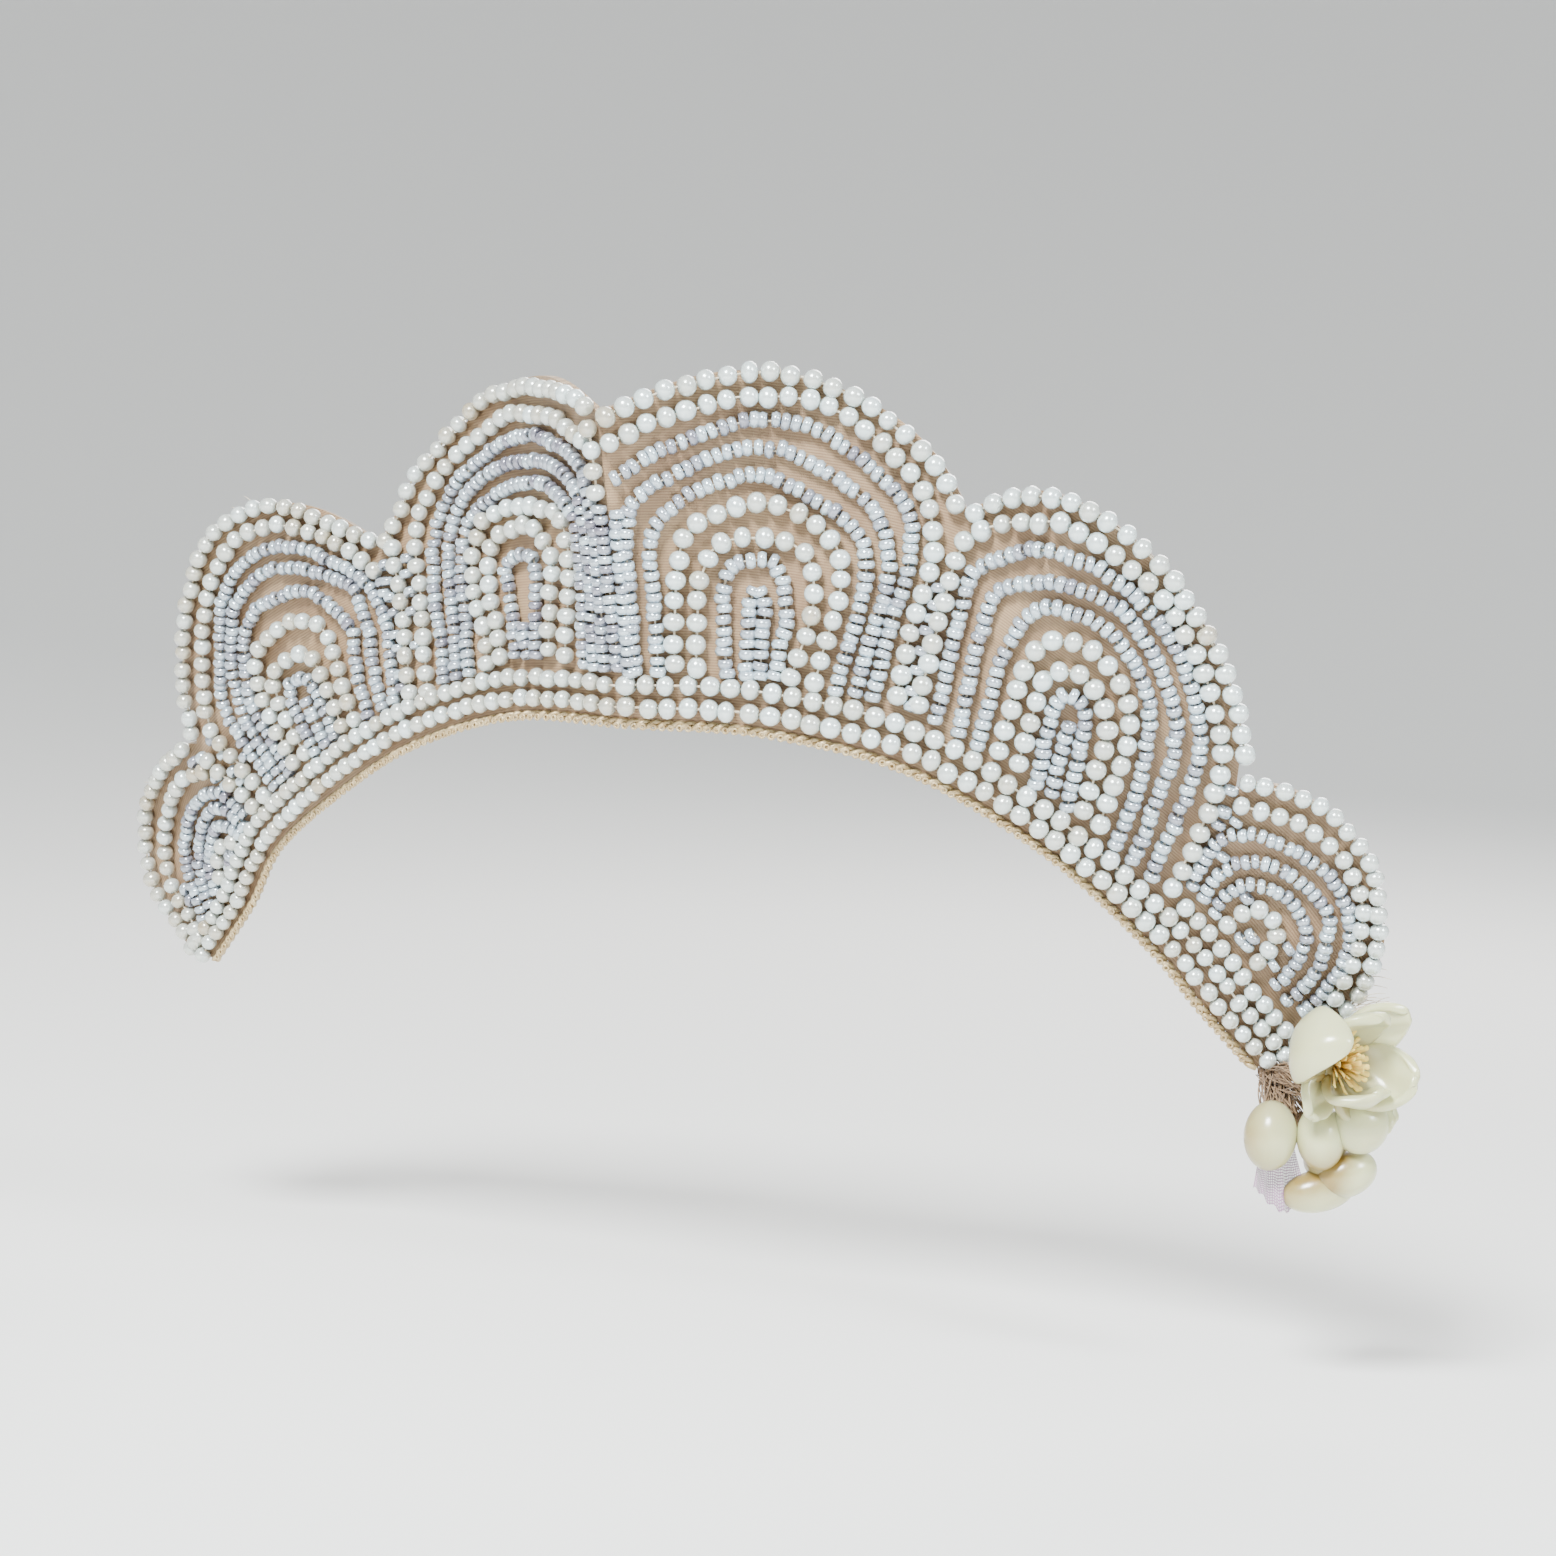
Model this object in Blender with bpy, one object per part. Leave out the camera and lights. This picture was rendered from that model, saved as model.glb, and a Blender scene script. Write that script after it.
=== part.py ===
"""Bridal crown: a beaded, scalloped cloth band with wax flowers at one end.

The band stands up from a curved lower edge as it does when worn. The front
faces -Y, +Z is up and +X is the wearer's left. The origin is the middle of
the lower edge. Lengths are in metres.
"""
import math

import bmesh
import bpy
import numpy as np

MM = 0.001

# Size of the lower edge: from the middle out to one end, back and down.
HALF_SPAN = 84.0 * MM
SET_BACK = 33.0 * MM
DROP = 43.5 * MM
# Height up the cloth that each scallop and valley takes its share of.
PEAK = 52.0 * MM

# Space kept between pieces that lie against each other.
GAP = 0.4 * MM

# Thicknesses: the cloth, and the beadwork over it at a string and between.
CLOTH = 1.2 * MM
BIG_BEAD = 2.7 * MM
SMALL_BEAD = 2.0 * MM
BARE = 1.2 * MM
BEAD_BACK = CLOTH / 2 + GAP

# Strip of two big strings along the lower edge, and where the fields start.
STRIP_LOW = 0.7 * MM
STRIP_WIDTH = 6.5 * MM
STRIP_HIGH = STRIP_LOW + STRIP_WIDTH
FIELD_LOW = STRIP_HIGH + GAP
# Half of the bare cloth at the crease, and how far beads pass the outline.
CREASE_BARE = 1.9 * MM
EDGE_OVER = 0.8 * MM

CORD_RADIUS = 0.8 * MM

# One row a section of the band, from the middle out to the end. across, back
# and down are shares of HALF_SPAN, SET_BACK and DROP. height is a share of
# PEAK. lean and tip are how far the cloth runs sideways (away from the
# middle) and back for each unit of its height. Every second row is the
# middle of a scallop and the rows between are the valleys.
LEFT_SIDE = [
    # across, back, down, height, lean, tip
    (0.00, 0.00, 0.00, 0.83, 0.06, -0.22),
    (0.22, 0.08, 0.01, 0.885, 0.15, 0.08),
    (0.44, 0.24, 0.13, 0.585, 0.32, 0.10),
    (0.63, 0.45, 0.31, 0.83, 0.53, -0.05),
    (0.82, 0.73, 0.54, 0.40, 0.72, -0.06),
    (0.91, 0.88, 0.77, 0.46, 0.91, 0.16),
    (1.01, 0.99, 1.00, 0.12, 0.94, 0.24),
]
RIGHT_SIDE = [
    # across, back, down, height, lean, tip
    (0.00, 0.00, 0.00, 0.83, -0.06, -0.22),
    (0.22, 0.11, 0.01, 0.955, -0.06, -0.02),
    (0.45, 0.26, 0.10, 0.69, 0.17, 0.05),
    (0.66, 0.45, 0.32, 0.905, 0.15, -0.11),
    (0.82, 0.75, 0.62, 0.48, 0.45, -0.08),
    (0.90, 0.87, 0.81, 0.54, 0.86, 0.12),
    (0.98, 1.00, 1.00, 0.17, 0.84, 0.30),
]
SECTIONS = {-1: LEFT_SIDE, 1: RIGHT_SIDE}
# Outline of each scallop: 0.5 gives a full round top and 1 a flatter arc. A
# scallop with skew below 0 is fuller on the side away from the middle, and
# above 0 on the side towards it.
SCALLOPS = {
    # (arc, skew) from the middle out
    -1: [(1.10, 0.10), (1.20, 0.10), (0.85, -0.15)],
    1: [(1.00, -0.45), (0.85, -0.45), (0.80, 0.40)],
}

# Bead rows of a scallop from its outline in to its centre line, as shares of
# that way, with the kind of bead on each.
BEAD_ROWS = [
    (0.04, "big"),
    (0.13, "big"),
    (0.24, "small"),
    (0.35, "small"),
    (0.45, "small"),
    (0.56, "big"),
    (0.69, "big"),
    (0.80, "small"),
    (0.90, "small"),
]
END_BEAD_ROWS = [
    (0.06, "big"),
    (0.20, "small"),
    (0.34, "small"),
    (0.48, "small"),
    (0.62, "big"),
    (0.77, "small"),
    (0.90, "small"),
]
CORE_SHARE = 0.29

# The spray faces the way the end of the band faces. SPRAY_TURN is counted
# from -Y towards +X.
SPRAY_TURN = math.radians(22.0)
SPRAY_RISE = math.radians(14.0)

# Open blossom. Its petals set its size, and the core they stand on and the
# stamens keep their share of it.
PETAL_LENGTH = 13.6 * MM
PETAL_WIDTH = 0.81 * PETAL_LENGTH
PETAL_THICK = 0.088 * PETAL_LENGTH
OPEN_CORE = 0.2 * PETAL_LENGTH
STAMEN_LENGTH = 0.265 * PETAL_LENGTH
# Across, up and out. The throat's place is in shares of PETAL_LENGTH from the
# end of the band, in front of the beads.
OPEN_PLACE = (0.66, -0.07, 0.45)
OPEN_AXIS = (0.70, -0.06, 0.71)
OPEN_PETALS = [
    # degrees round from across to up, share of length, share of width,
    # heading at the root and at the tip from the axis, cup in half widths
    (165, 1.35, 1.02, 125, -78, 0.26),
    (238, 0.63, 0.51, 104, 60, 0.17),
    (292, 0.80, 0.92, 84, -50, 0.28),
    (330, 0.90, 0.76, 98, 34, 0.22),
    (352, 0.93, 0.87, 74, -14, 0.24),
    (92, 0.88, 0.82, 78, -8, 0.22),
    (36, 1.00, 0.73, 92, 22, 0.20),
]

# Half-open blossom: round petals closed over its core. Places and half
# sizes are shares of HALF_CORE, counted from its middle.
HALF_CORE = 3.3 * MM
HALF_PLACE = (0.07, -0.86, -0.58)
HALF_PETALS = [
    # across, up, out, half width, half length, half depth, degrees leaned
    (-0.45, 0.67, 0.94, 0.85, 1.21, 0.73, 4),
    (1.16, 0.72, 0.42, 0.98, 1.04, 0.72, -24),
    (0.76, -0.58, 0.27, 1.12, 0.76, 0.70, 24),
    (-0.33, -1.33, 0.00, 1.33, 0.67, 0.58, 14),
]
BUD_RADIUS = 3.65 * MM
KNOT_RADIUS = 1.7 * MM
STEM_RADIUS = 0.95 * MM
TULLE_LENGTH = 5.2 * MM
TULLE_WIDTH = 6.0 * MM
TULLE_THICK = 1.0 * MM


def clear_scene():
    for obj in list(bpy.data.objects):
        bpy.data.objects.remove(obj, do_unlink=True)
    for mesh in list(bpy.data.meshes):
        bpy.data.meshes.remove(mesh)


def make_material(name, colour, roughness, metallic=0.0):
    mat = bpy.data.materials.new(name)
    mat.use_nodes = True
    shader = mat.node_tree.nodes["Principled BSDF"]
    shader.inputs["Base Color"].default_value = (*colour, 1.0)
    shader.inputs["Roughness"].default_value = roughness
    shader.inputs["Metallic"].default_value = metallic
    return mat


def hermite(rows, k):
    """Smooth value of the section rows at station k."""
    rows = np.asarray(rows, float)
    last = len(rows) - 1
    i = min(int(math.floor(k)), last - 1)
    i = max(i, 0)
    t = k - i
    p0 = rows[i]
    p1 = rows[i + 1]
    m0 = (rows[i + 1] - rows[i - 1]) / 2 if i > 0 else p1 - p0
    m1 = (rows[i + 2] - rows[i]) / 2 if i + 2 <= last else p1 - p0
    a = 2 * t ** 3 - 3 * t ** 2 + 1
    b = t ** 3 - 2 * t ** 2 + t
    c = -2 * t ** 3 + 3 * t ** 2
    d = t ** 3 - t ** 2
    return a * p0 + b * m0 + c * p1 + d * m1


def section(side, k):
    """Lower edge point and unit direction up the cloth at station k."""
    row = hermite(SECTIONS[side], k)
    foot = np.array([side * row[0] * HALF_SPAN, row[1] * SET_BACK, -row[2] * DROP])
    rise = np.array([side * row[4], row[5], 0.0])
    rise[2] = math.sqrt(max(1.0 - rise[0] ** 2 - rise[1] ** 2, 0.04))
    return foot, rise / np.linalg.norm(rise)


def top(side, k):
    """Height of the scalloped outline above the lower edge at station k."""
    rows = SECTIONS[side]
    i = min(int(k // 2), 2)
    u = (k - 2 * i) / 2.0
    h0 = rows[2 * i][3]
    h1 = rows[2 * i + 1][3]
    h2 = rows[2 * i + 2][3]
    flat, skew = SCALLOPS[side][i]
    v = u + skew * u * (1.0 - u)
    arc = max(1.0 - (2.0 * v - 1.0) ** 2, 0.0) ** flat
    base = h0 + (h2 - h0) * u
    return (base + (h1 - (h0 + h2) / 2.0) * arc) * PEAK


def on_cloth(side, k, q):
    foot, rise = section(side, k)
    return foot + q * rise


def side_normal(side, k, q):
    step = 0.05
    lo = max(k - step, 0.0)
    hi = min(k + step, 6.0)
    along = on_cloth(side, hi, q) - on_cloth(side, lo, q)
    rise = section(side, k)[1]
    n = np.cross(along, rise) * side
    return n / np.linalg.norm(n)


def skin(side, k, q, z):
    """Point q up the cloth at station k, z out from the middle of the cloth."""
    n = side_normal(side, k, q)
    if k < 1e-6:
        other = side_normal(-side, 0.0, q)
        both = (n + other) / np.linalg.norm(n + other)
        n = both / max(float(both @ n), 0.5)
    return on_cloth(side, k, q) + z * n


def stations(per_side):
    """(side, k) pairs from the wearer's right end to the left end."""
    ks = [6.0 * i / per_side for i in range(per_side + 1)]
    return [(-1, k) for k in reversed(ks)] + [(1, k) for k in ks[1:]]


def new_object(name, verts, faces, mat, sharp=35.0):
    mesh = bpy.data.meshes.new(name)
    mesh.from_pydata([tuple(v) for v in verts], [], faces)
    obj = bpy.data.objects.new(name, mesh)
    bpy.context.scene.collection.objects.link(obj)
    bm = bmesh.new()
    bm.from_mesh(mesh)
    bmesh.ops.remove_doubles(bm, verts=bm.verts, dist=1e-6)
    bmesh.ops.dissolve_degenerate(bm, edges=bm.edges, dist=1e-6)
    bmesh.ops.triangulate(bm, faces=bm.faces)
    bmesh.ops.recalc_face_normals(bm, faces=bm.faces)
    if bm.calc_volume(signed=True) < 0:
        bmesh.ops.reverse_faces(bm, faces=bm.faces)
    bm.to_mesh(mesh)
    bm.free()
    mesh.materials.append(mat)
    mesh.shade_smooth()
    mesh.set_sharp_from_angle(angle=math.radians(sharp))
    return obj


def ring_solid(name, rings, mat, sharp=35.0):
    """Closed solid through a list of rings of equally many points."""
    count = len(rings[0])
    verts = [p for ring in rings for p in ring]
    faces = []
    for i in range(len(rings) - 1):
        for j in range(count):
            a = i * count + j
            b = i * count + (j + 1) % count
            faces.append((a, b, b + count, a + count))
    faces.append(tuple(range(count)))
    last = (len(rings) - 1) * count
    faces.append(tuple(reversed(range(last, last + count))))
    return new_object(name, verts, faces, mat, sharp)


def make_cloth(mat):
    rows = 7
    rings = []
    for side, k in stations(33):
        high = top(side, k)
        qs = [high * i / rows for i in range(rows + 1)]
        front = [skin(side, k, q, CLOTH / 2) for q in qs]
        back = [skin(side, k, q, -CLOTH / 2) for q in reversed(qs)]
        rings.append(front + back)
    return ring_solid("cloth_band", rings, mat)


def make_strip(mat):
    """Two big strings along the lower edge."""
    middle = (STRIP_LOW + STRIP_HIGH) / 2
    reach = STRIP_HIGH - STRIP_LOW
    profile = [
        (STRIP_LOW, BARE),
        (STRIP_LOW + 0.23 * reach, BIG_BEAD),
        (middle, BARE * 1.25),
        (STRIP_LOW + 0.77 * reach, BIG_BEAD),
        (STRIP_HIGH, BARE),
    ]
    rings = []
    for side, k in stations(28):
        ring = [skin(side, k, q, BEAD_BACK + thick) for q, thick in profile]
        ring += [skin(side, k, q, BEAD_BACK) for q in (STRIP_HIGH, STRIP_LOW)]
        rings.append(ring)
    return ring_solid("lower_bead_rows", rings, mat)


def make_cord(mat):
    """Cord under the lower edge, a round tube of eight sides."""
    sides = 8
    rings = []
    for side, k in stations(26):
        along, rise = section(side, k)
        out = skin(side, k, 0.0, 1.0) - skin(side, k, 0.0, 0.0)
        middle = skin(side, k, -CORD_RADIUS - GAP, CLOTH * 0.4)
        ring = []
        for j in range(sides):
            angle = 2 * math.pi * (j + 0.5) / sides
            ring.append(middle + CORD_RADIUS * (math.cos(angle) * out + math.sin(angle) * rise))
        rings.append(ring)
    return ring_solid("lower_edge_cord", rings, mat)


def row_profile(bead_rows):
    """(share of the way in, thickness) pairs over the ridges of a field."""
    thick = {"big": BIG_BEAD, "small": SMALL_BEAD}
    pairs = [(0.0, BARE)]
    for i, (share, kind) in enumerate(bead_rows):
        pairs.append((share, thick[kind]))
        ahead = bead_rows[i + 1][0] if i + 1 < len(bead_rows) else 1.0
        pairs.append(((share + ahead) / 2, BARE))
    pairs.append((1.0, SMALL_BEAD))
    return pairs


def span_of(side, k0, k1):
    a = on_cloth(side, k0, 0.0)
    b = on_cloth(side, k1, 0.0)
    return float(np.linalg.norm(b - a)) / (k1 - k0)


def arch_path(side, index, over):
    """Outline of a scallop's field and the centre line it closes on to."""
    k0 = 2.0 * index
    k1 = k0 + 2.0
    near = CREASE_BARE if index == 0 else GAP / 2
    ka = k0 + near / span_of(side, k0, k0 + 1)
    kb = k1 - GAP / 2 / span_of(side, k0 + 1, k1)
    kc = (ka + kb) / 2
    crown = FIELD_LOW + CORE_SHARE * (top(side, k0 + 1.0) - FIELD_LOW)
    up = 3
    round_top = 10
    outer = []
    inner = []
    for i in range(up):
        f = i / up
        outer.append((ka, FIELD_LOW + f * (top(side, ka) + over - FIELD_LOW)))
        inner.append((kc, FIELD_LOW + f * (crown - FIELD_LOW)))
    for i in range(round_top + 1):
        f = 0.5 - 0.5 * math.cos(math.pi * i / round_top)
        k = ka + (kb - ka) * f
        outer.append((k, top(side, k) + over))
        inner.append((kc, crown))
    for i in range(up):
        f = 1.0 - (i + 1) / up
        outer.append((kb, FIELD_LOW + f * (top(side, kb) + over - FIELD_LOW)))
        inner.append((kc, FIELD_LOW + f * (crown - FIELD_LOW)))
    return outer, inner


def arch_point(side, outer, inner, share, z):
    k = outer[0] + (inner[0] - outer[0]) * share
    q = outer[1] + (inner[1] - outer[1]) * share
    return skin(side, k, q, z)


def make_field(name, side, index, mat):
    """One scallop's beadwork: arches of strings, ridge by ridge."""
    outer, inner = arch_path(side, index, EDGE_OVER)
    front_rows = row_profile(END_BEAD_ROWS if index == 2 else BEAD_ROWS)
    back_rows = [0.0, 0.17, 0.34, 0.51, 0.68, 0.84, 1.0]
    verts = []
    faces = []
    count = len(outer)
    front = []
    for share, thick in front_rows:
        front.append([len(verts) + i for i in range(count)])
        verts += [arch_point(side, outer[i], inner[i], share, BEAD_BACK + thick) for i in range(count)]
    back = []
    for share in back_rows:
        back.append([len(verts) + i for i in range(count)])
        verts += [arch_point(side, outer[i], inner[i], share, BEAD_BACK) for i in range(count)]
    for grid in (front, back):
        for r in range(len(grid) - 1):
            for i in range(count - 1):
                faces.append((grid[r][i], grid[r][i + 1], grid[r + 1][i + 1], grid[r + 1][i]))
    for i in range(count - 1):
        faces.append((front[0][i], front[0][i + 1], back[0][i + 1], back[0][i]))
    for i in (0, count - 1):
        a = [row[i] for row in front]
        b = [row[i] for row in back]
        sa = [p[0] for p in front_rows]
        ia = 0
        ib = 0
        while ia < len(a) - 1 or ib < len(b) - 1:
            step_a = ib == len(b) - 1 or (ia < len(a) - 1 and sa[ia + 1] <= back_rows[ib + 1])
            if step_a:
                faces.append((a[ia], a[ia + 1], b[ib]))
                ia += 1
            else:
                faces.append((a[ia], b[ib + 1], b[ib]))
                ib += 1
    return new_object(name, verts, faces, mat)


def spray_frame():
    """Unit vectors across, up and out of the spray."""
    out = np.array([
        math.sin(SPRAY_TURN) * math.cos(SPRAY_RISE),
        -math.cos(SPRAY_TURN) * math.cos(SPRAY_RISE),
        math.sin(SPRAY_RISE),
    ])
    across = np.array([math.cos(SPRAY_TURN), math.sin(SPRAY_TURN), 0.0])
    return across, np.cross(out, across), out


def spray_vector(place):
    """World vector of lengths across, up and out of the spray."""
    across, up, out = spray_frame()
    return place[0] * across + place[1] * up + place[2] * out


def unit(v):
    return v / np.linalg.norm(v)


def spray_places():
    """Middles of the pieces of the spray, from the end of the band on."""
    root = on_cloth(1, 6.0, 0.0)
    front = spray_vector((0.0, 0.0, BEAD_BACK + BIG_BEAD))
    throat = root + front + spray_vector(np.array(OPEN_PLACE) * PETAL_LENGTH)
    half = throat + spray_vector(np.array(HALF_PLACE) * PETAL_LENGTH)
    lobe = HALF_PETALS[0]
    beside = half + spray_vector(np.array(lobe[:3]) * HALF_CORE)
    away = lobe[3] * HALF_CORE + BUD_RADIUS + GAP
    bud = beside - spray_vector((away, 0.05 * away, 0.03 * away))
    ahead = unit(on_cloth(1, 6.0, STRIP_LOW) - on_cloth(1, 5.9, STRIP_LOW))
    knot = on_cloth(1, 6.0, STRIP_LOW) + ahead * (KNOT_RADIUS + GAP)
    return {"throat": throat, "half": half, "bud": bud, "knot": knot}


def make_petal(throat, axis, row, mat):
    """A cupped petal from the throat: wide in its middle, round at its tip."""
    turn, long_share, wide_share, start, end, cup = row
    angle = math.radians(turn)
    side = spray_vector((math.cos(angle), math.sin(angle), 0.0))
    radial = unit(side - axis * float(side @ axis))
    wide = np.cross(axis, radial)
    length = long_share * PETAL_LENGTH
    steps = 5
    lanes = 4
    p = throat + OPEN_CORE * 0.22 * radial
    rings = []
    for i in range(steps + 1):
        t = i / steps
        heading = math.radians(start + (end - start) * t)
        ahead = radial * math.sin(heading) + axis * math.cos(heading)
        inward = axis * math.sin(heading) - radial * math.cos(heading)
        half = wide_share * PETAL_WIDTH / 2 * math.sin(math.pi * (0.13 + 0.80 * t)) ** 0.7
        thick = PETAL_THICK * (1.0 - 0.25 * t)
        front = []
        back = []
        for j in range(lanes + 1):
            s = 2.0 * j / lanes - 1.0
            place = p + wide * s * half + inward * cup * half * s * s - ahead * 0.12 * s * s * half * t
            n = unit(inward - wide * 2 * cup * s)
            reach = n * thick / 2 * (0.62 if abs(s) > 0.99 else 1.0)
            front.append(place + reach)
            back.append(place - reach)
        rings.append(front + list(reversed(back)))
        p = p + length / steps * ahead
    return ring_solid("petal_part", rings, mat, 50.0)


def ball(name, middle, radius, mat, stretch=(1.0, 1.0, 1.0), up=None, out=None, ribs=12, rows=8):
    """Round or egg-shaped solid. up is its long way and out its front."""
    up = np.array([0.0, 0.0, 1.0]) if up is None else up
    out = np.array([0.3, -1.0, 0.2]) if out is None else out
    front = out - up * float(out @ up)
    front = front / np.linalg.norm(front)
    across = np.cross(up, -front)
    bm = bmesh.new()
    bmesh.ops.create_uvsphere(bm, u_segments=ribs, v_segments=rows, radius=radius)
    verts = []
    for v in bm.verts:
        x = v.co.x * stretch[0]
        y = v.co.y * stretch[1]
        z = v.co.z * stretch[2]
        verts.append(np.asarray(middle) + x * across - y * front + z * up)
    faces = [tuple(v.index for v in f.verts) for f in bm.faces]
    bm.free()
    return new_object(name, verts, faces, mat, 60.0)


def fuse(name, parts):
    """Union of the parts as one closed solid."""
    body = parts[0]
    for other in parts[1:]:
        mod = body.modifiers.new("join", "BOOLEAN")
        mod.operation = "UNION"
        mod.solver = "EXACT"
        mod.object = other
        bpy.context.view_layer.objects.active = body
        bpy.ops.object.modifier_apply(modifier=mod.name)
        bpy.data.objects.remove(other, do_unlink=True)
    body.name = name
    body.data.name = name
    bm = bmesh.new()
    bm.from_mesh(body.data)
    bmesh.ops.remove_doubles(bm, verts=bm.verts, dist=2e-5)
    bmesh.ops.dissolve_degenerate(bm, edges=bm.edges, dist=1e-5)
    bmesh.ops.triangulate(bm, faces=bm.faces)
    bmesh.ops.recalc_face_normals(bm, faces=bm.faces)
    bm.to_mesh(body.data)
    bm.free()
    body.data.shade_smooth()
    body.data.set_sharp_from_angle(angle=math.radians(50.0))
    return body


def make_open_blossom(mat):
    throat = spray_places()["throat"]
    way = unit(spray_vector(OPEN_AXIS))
    core = throat - way * 0.22 * OPEN_CORE
    parts = [ball("core_part", core, OPEN_CORE, mat, (1.0, 1.0, 0.8), way)]
    for row in OPEN_PETALS:
        parts.append(make_petal(throat, way, row, mat))
    return fuse("wax_blossom", parts)


def make_half_blossom(mat):
    middle = spray_places()["half"]
    out = spray_frame()[2]
    parts = [ball("core_part", middle, HALF_CORE, mat)]
    for row in HALF_PETALS:
        turn = math.radians(row[6])
        up = spray_vector((-math.sin(turn), math.cos(turn), 0.0))
        place = middle + spray_vector(np.array(row[:3]) * HALF_CORE)
        parts.append(ball("petal_part", place, HALF_CORE, mat, (row[3], row[5], row[4]), up, out))
    return fuse("wax_blossom_half_open", parts)


def make_stamens(mat):
    """Tuft in the throat of the open blossom, a brush with a notched top."""
    way = unit(spray_vector(OPEN_AXIS))
    x = unit(np.cross(np.array([0.0, 0.0, 1.0]), way))
    y = np.cross(way, x)
    foot = spray_places()["throat"] + way * (0.58 * OPEN_CORE + GAP)
    count = 14
    verts = []
    for reach, radius, notch in ((0.0, 0.26, 0.0), (0.35, 0.40, 0.0), (0.84, 0.66, 0.16)):
        for j in range(count):
            angle = 2 * math.pi * j / count
            lift = reach + (notch if j % 2 else -notch)
            spoke = x * math.cos(angle) + y * math.sin(angle)
            verts.append(foot + STAMEN_LENGTH * (way * lift + radius * spoke))
    verts.append(foot + STAMEN_LENGTH * way * 0.55)
    faces = []
    for i in range(2):
        for j in range(count):
            a = i * count + j
            b = i * count + (j + 1) % count
            faces.append((a, b, b + count, a + count))
    faces.append(tuple(range(count)))
    for j in range(count):
        faces.append((2 * count + j, 2 * count + (j + 1) % count, 3 * count))
    return new_object("stamens", verts, faces, mat)


def tube(points, radius, mat, sides=8):
    """Bent round stem through the points."""
    rings = []
    x = None
    for i, p in enumerate(points):
        way = unit(points[min(i + 1, len(points) - 1)] - points[max(i - 1, 0)])
        if x is None:
            x = np.cross(way, spray_frame()[0])
        x = unit(x - way * float(x @ way))
        y = np.cross(way, x)
        angles = [2 * math.pi * j / sides for j in range(sides)]
        rings.append([p + radius * (x * math.cos(a) + y * math.sin(a)) for a in angles])
    return ring_solid("stem_part", rings, mat)


def make_stems(mat):
    """Bound stems that carry the blossoms and the bud from the band's end."""
    at = spray_places()
    knot = at["knot"]
    way = unit(spray_vector(OPEN_AXIS))
    core = at["throat"] - way * 0.22 * OPEN_CORE
    open_end = core - way * (0.8 * OPEN_CORE + GAP)
    open_bend = open_end - way * 2 * STEM_RADIUS - spray_vector((0.0, STEM_RADIUS, 0.0))
    half_bend = knot + spray_vector((0.10, -0.24, -0.05)) * PETAL_LENGTH
    half_end = at["half"] - unit(at["half"] - half_bend) * (HALF_CORE + GAP)
    bud_bend = knot + spray_vector((0.00, -0.20, 0.03)) * PETAL_LENGTH
    bud_end = at["bud"] - unit(at["bud"] - bud_bend) * (BUD_RADIUS + GAP)
    parts = [ball("knot_part", knot, KNOT_RADIUS, mat)]
    for points in ([knot, open_bend, open_end], [knot, half_bend, half_end], [knot, bud_bend, bud_end]):
        parts.append(tube(points, STEM_RADIUS, mat))
    return fuse("flower_stems", parts)


def make_tulle(mat):
    """Small gathered scrap of tulle below the bud."""
    head = spray_places()["bud"] - spray_vector((0.0, BUD_RADIUS + GAP, 0.3 * BUD_RADIUS))
    rows = 5
    rings = []
    for i in range(rows + 1):
        t = i / rows
        half = TULLE_WIDTH / 2 * (0.27 + 0.73 * t ** 0.8)
        front = []
        back = []
        for j in range(7):
            s = 2.0 * j / 6 - 1.0
            wave = TULLE_WIDTH * 0.09 * t * math.sin(2.4 * math.pi * s)
            ragged = TULLE_LENGTH * 0.10 * t * math.cos(5.0 * math.pi * s)
            place = head + spray_vector((s * half, ragged - t * TULLE_LENGTH, wave))
            reach = spray_vector((0.0, 0.0, TULLE_THICK / 2))
            front.append(place + reach)
            back.append(place - reach)
        rings.append(front + list(reversed(back)))
    return ring_solid("tulle_scrap", rings, mat)


def main():
    clear_scene()
    silk = make_material("silk_cloth", (0.76, 0.60, 0.44), 0.6)
    pearl = make_material("pearl_beads", (0.88, 0.86, 0.86), 0.3)
    gilt = make_material("gilt_cord", (0.72, 0.56, 0.33), 0.55)
    wax = make_material("ivory_wax", (0.90, 0.87, 0.74), 0.35)
    yellow = make_material("yellow_stamens", (0.92, 0.74, 0.30), 0.7)
    brown = make_material("stem_thread", (0.42, 0.30, 0.20), 0.8)
    mauve = make_material("mauve_tulle", (0.72, 0.58, 0.70), 0.9)

    make_cloth(silk)
    make_cord(gilt)
    make_strip(pearl)
    for i, (side, index) in enumerate([(-1, 2), (-1, 1), (-1, 0), (1, 0), (1, 1), (1, 2)]):
        make_field("bead_field_%d" % (i + 1), side, index, pearl)
    make_open_blossom(wax)
    make_half_blossom(wax)
    ball("wax_bud", spray_places()["bud"], BUD_RADIUS, wax, (1.0, 1.0, 1.12), ribs=16, rows=10)
    make_stamens(yellow)
    make_stems(brown)
    make_tulle(mauve)


main()
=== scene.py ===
# %% [markdown]
# A bridal crown of beadwork and wax flowers. A stiffened silk band stands up
# from a curved lower edge in six scallops, three on each side of a crease in
# the middle. Strings of pearly glass beads are couched over it in arches, and
# a small spray of wax blossoms sits at one end. This lesson dresses the packed
# solids of the crown: each solid gives the place and size, and each cell makes
# the real piece there. It loads the solids first and keeps their box, so that
# the dressed crown can be compared with it at the end.

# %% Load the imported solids
import math
import random

import bmesh
import bpy
import numpy as np
from mathutils import Matrix, Vector


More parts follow.
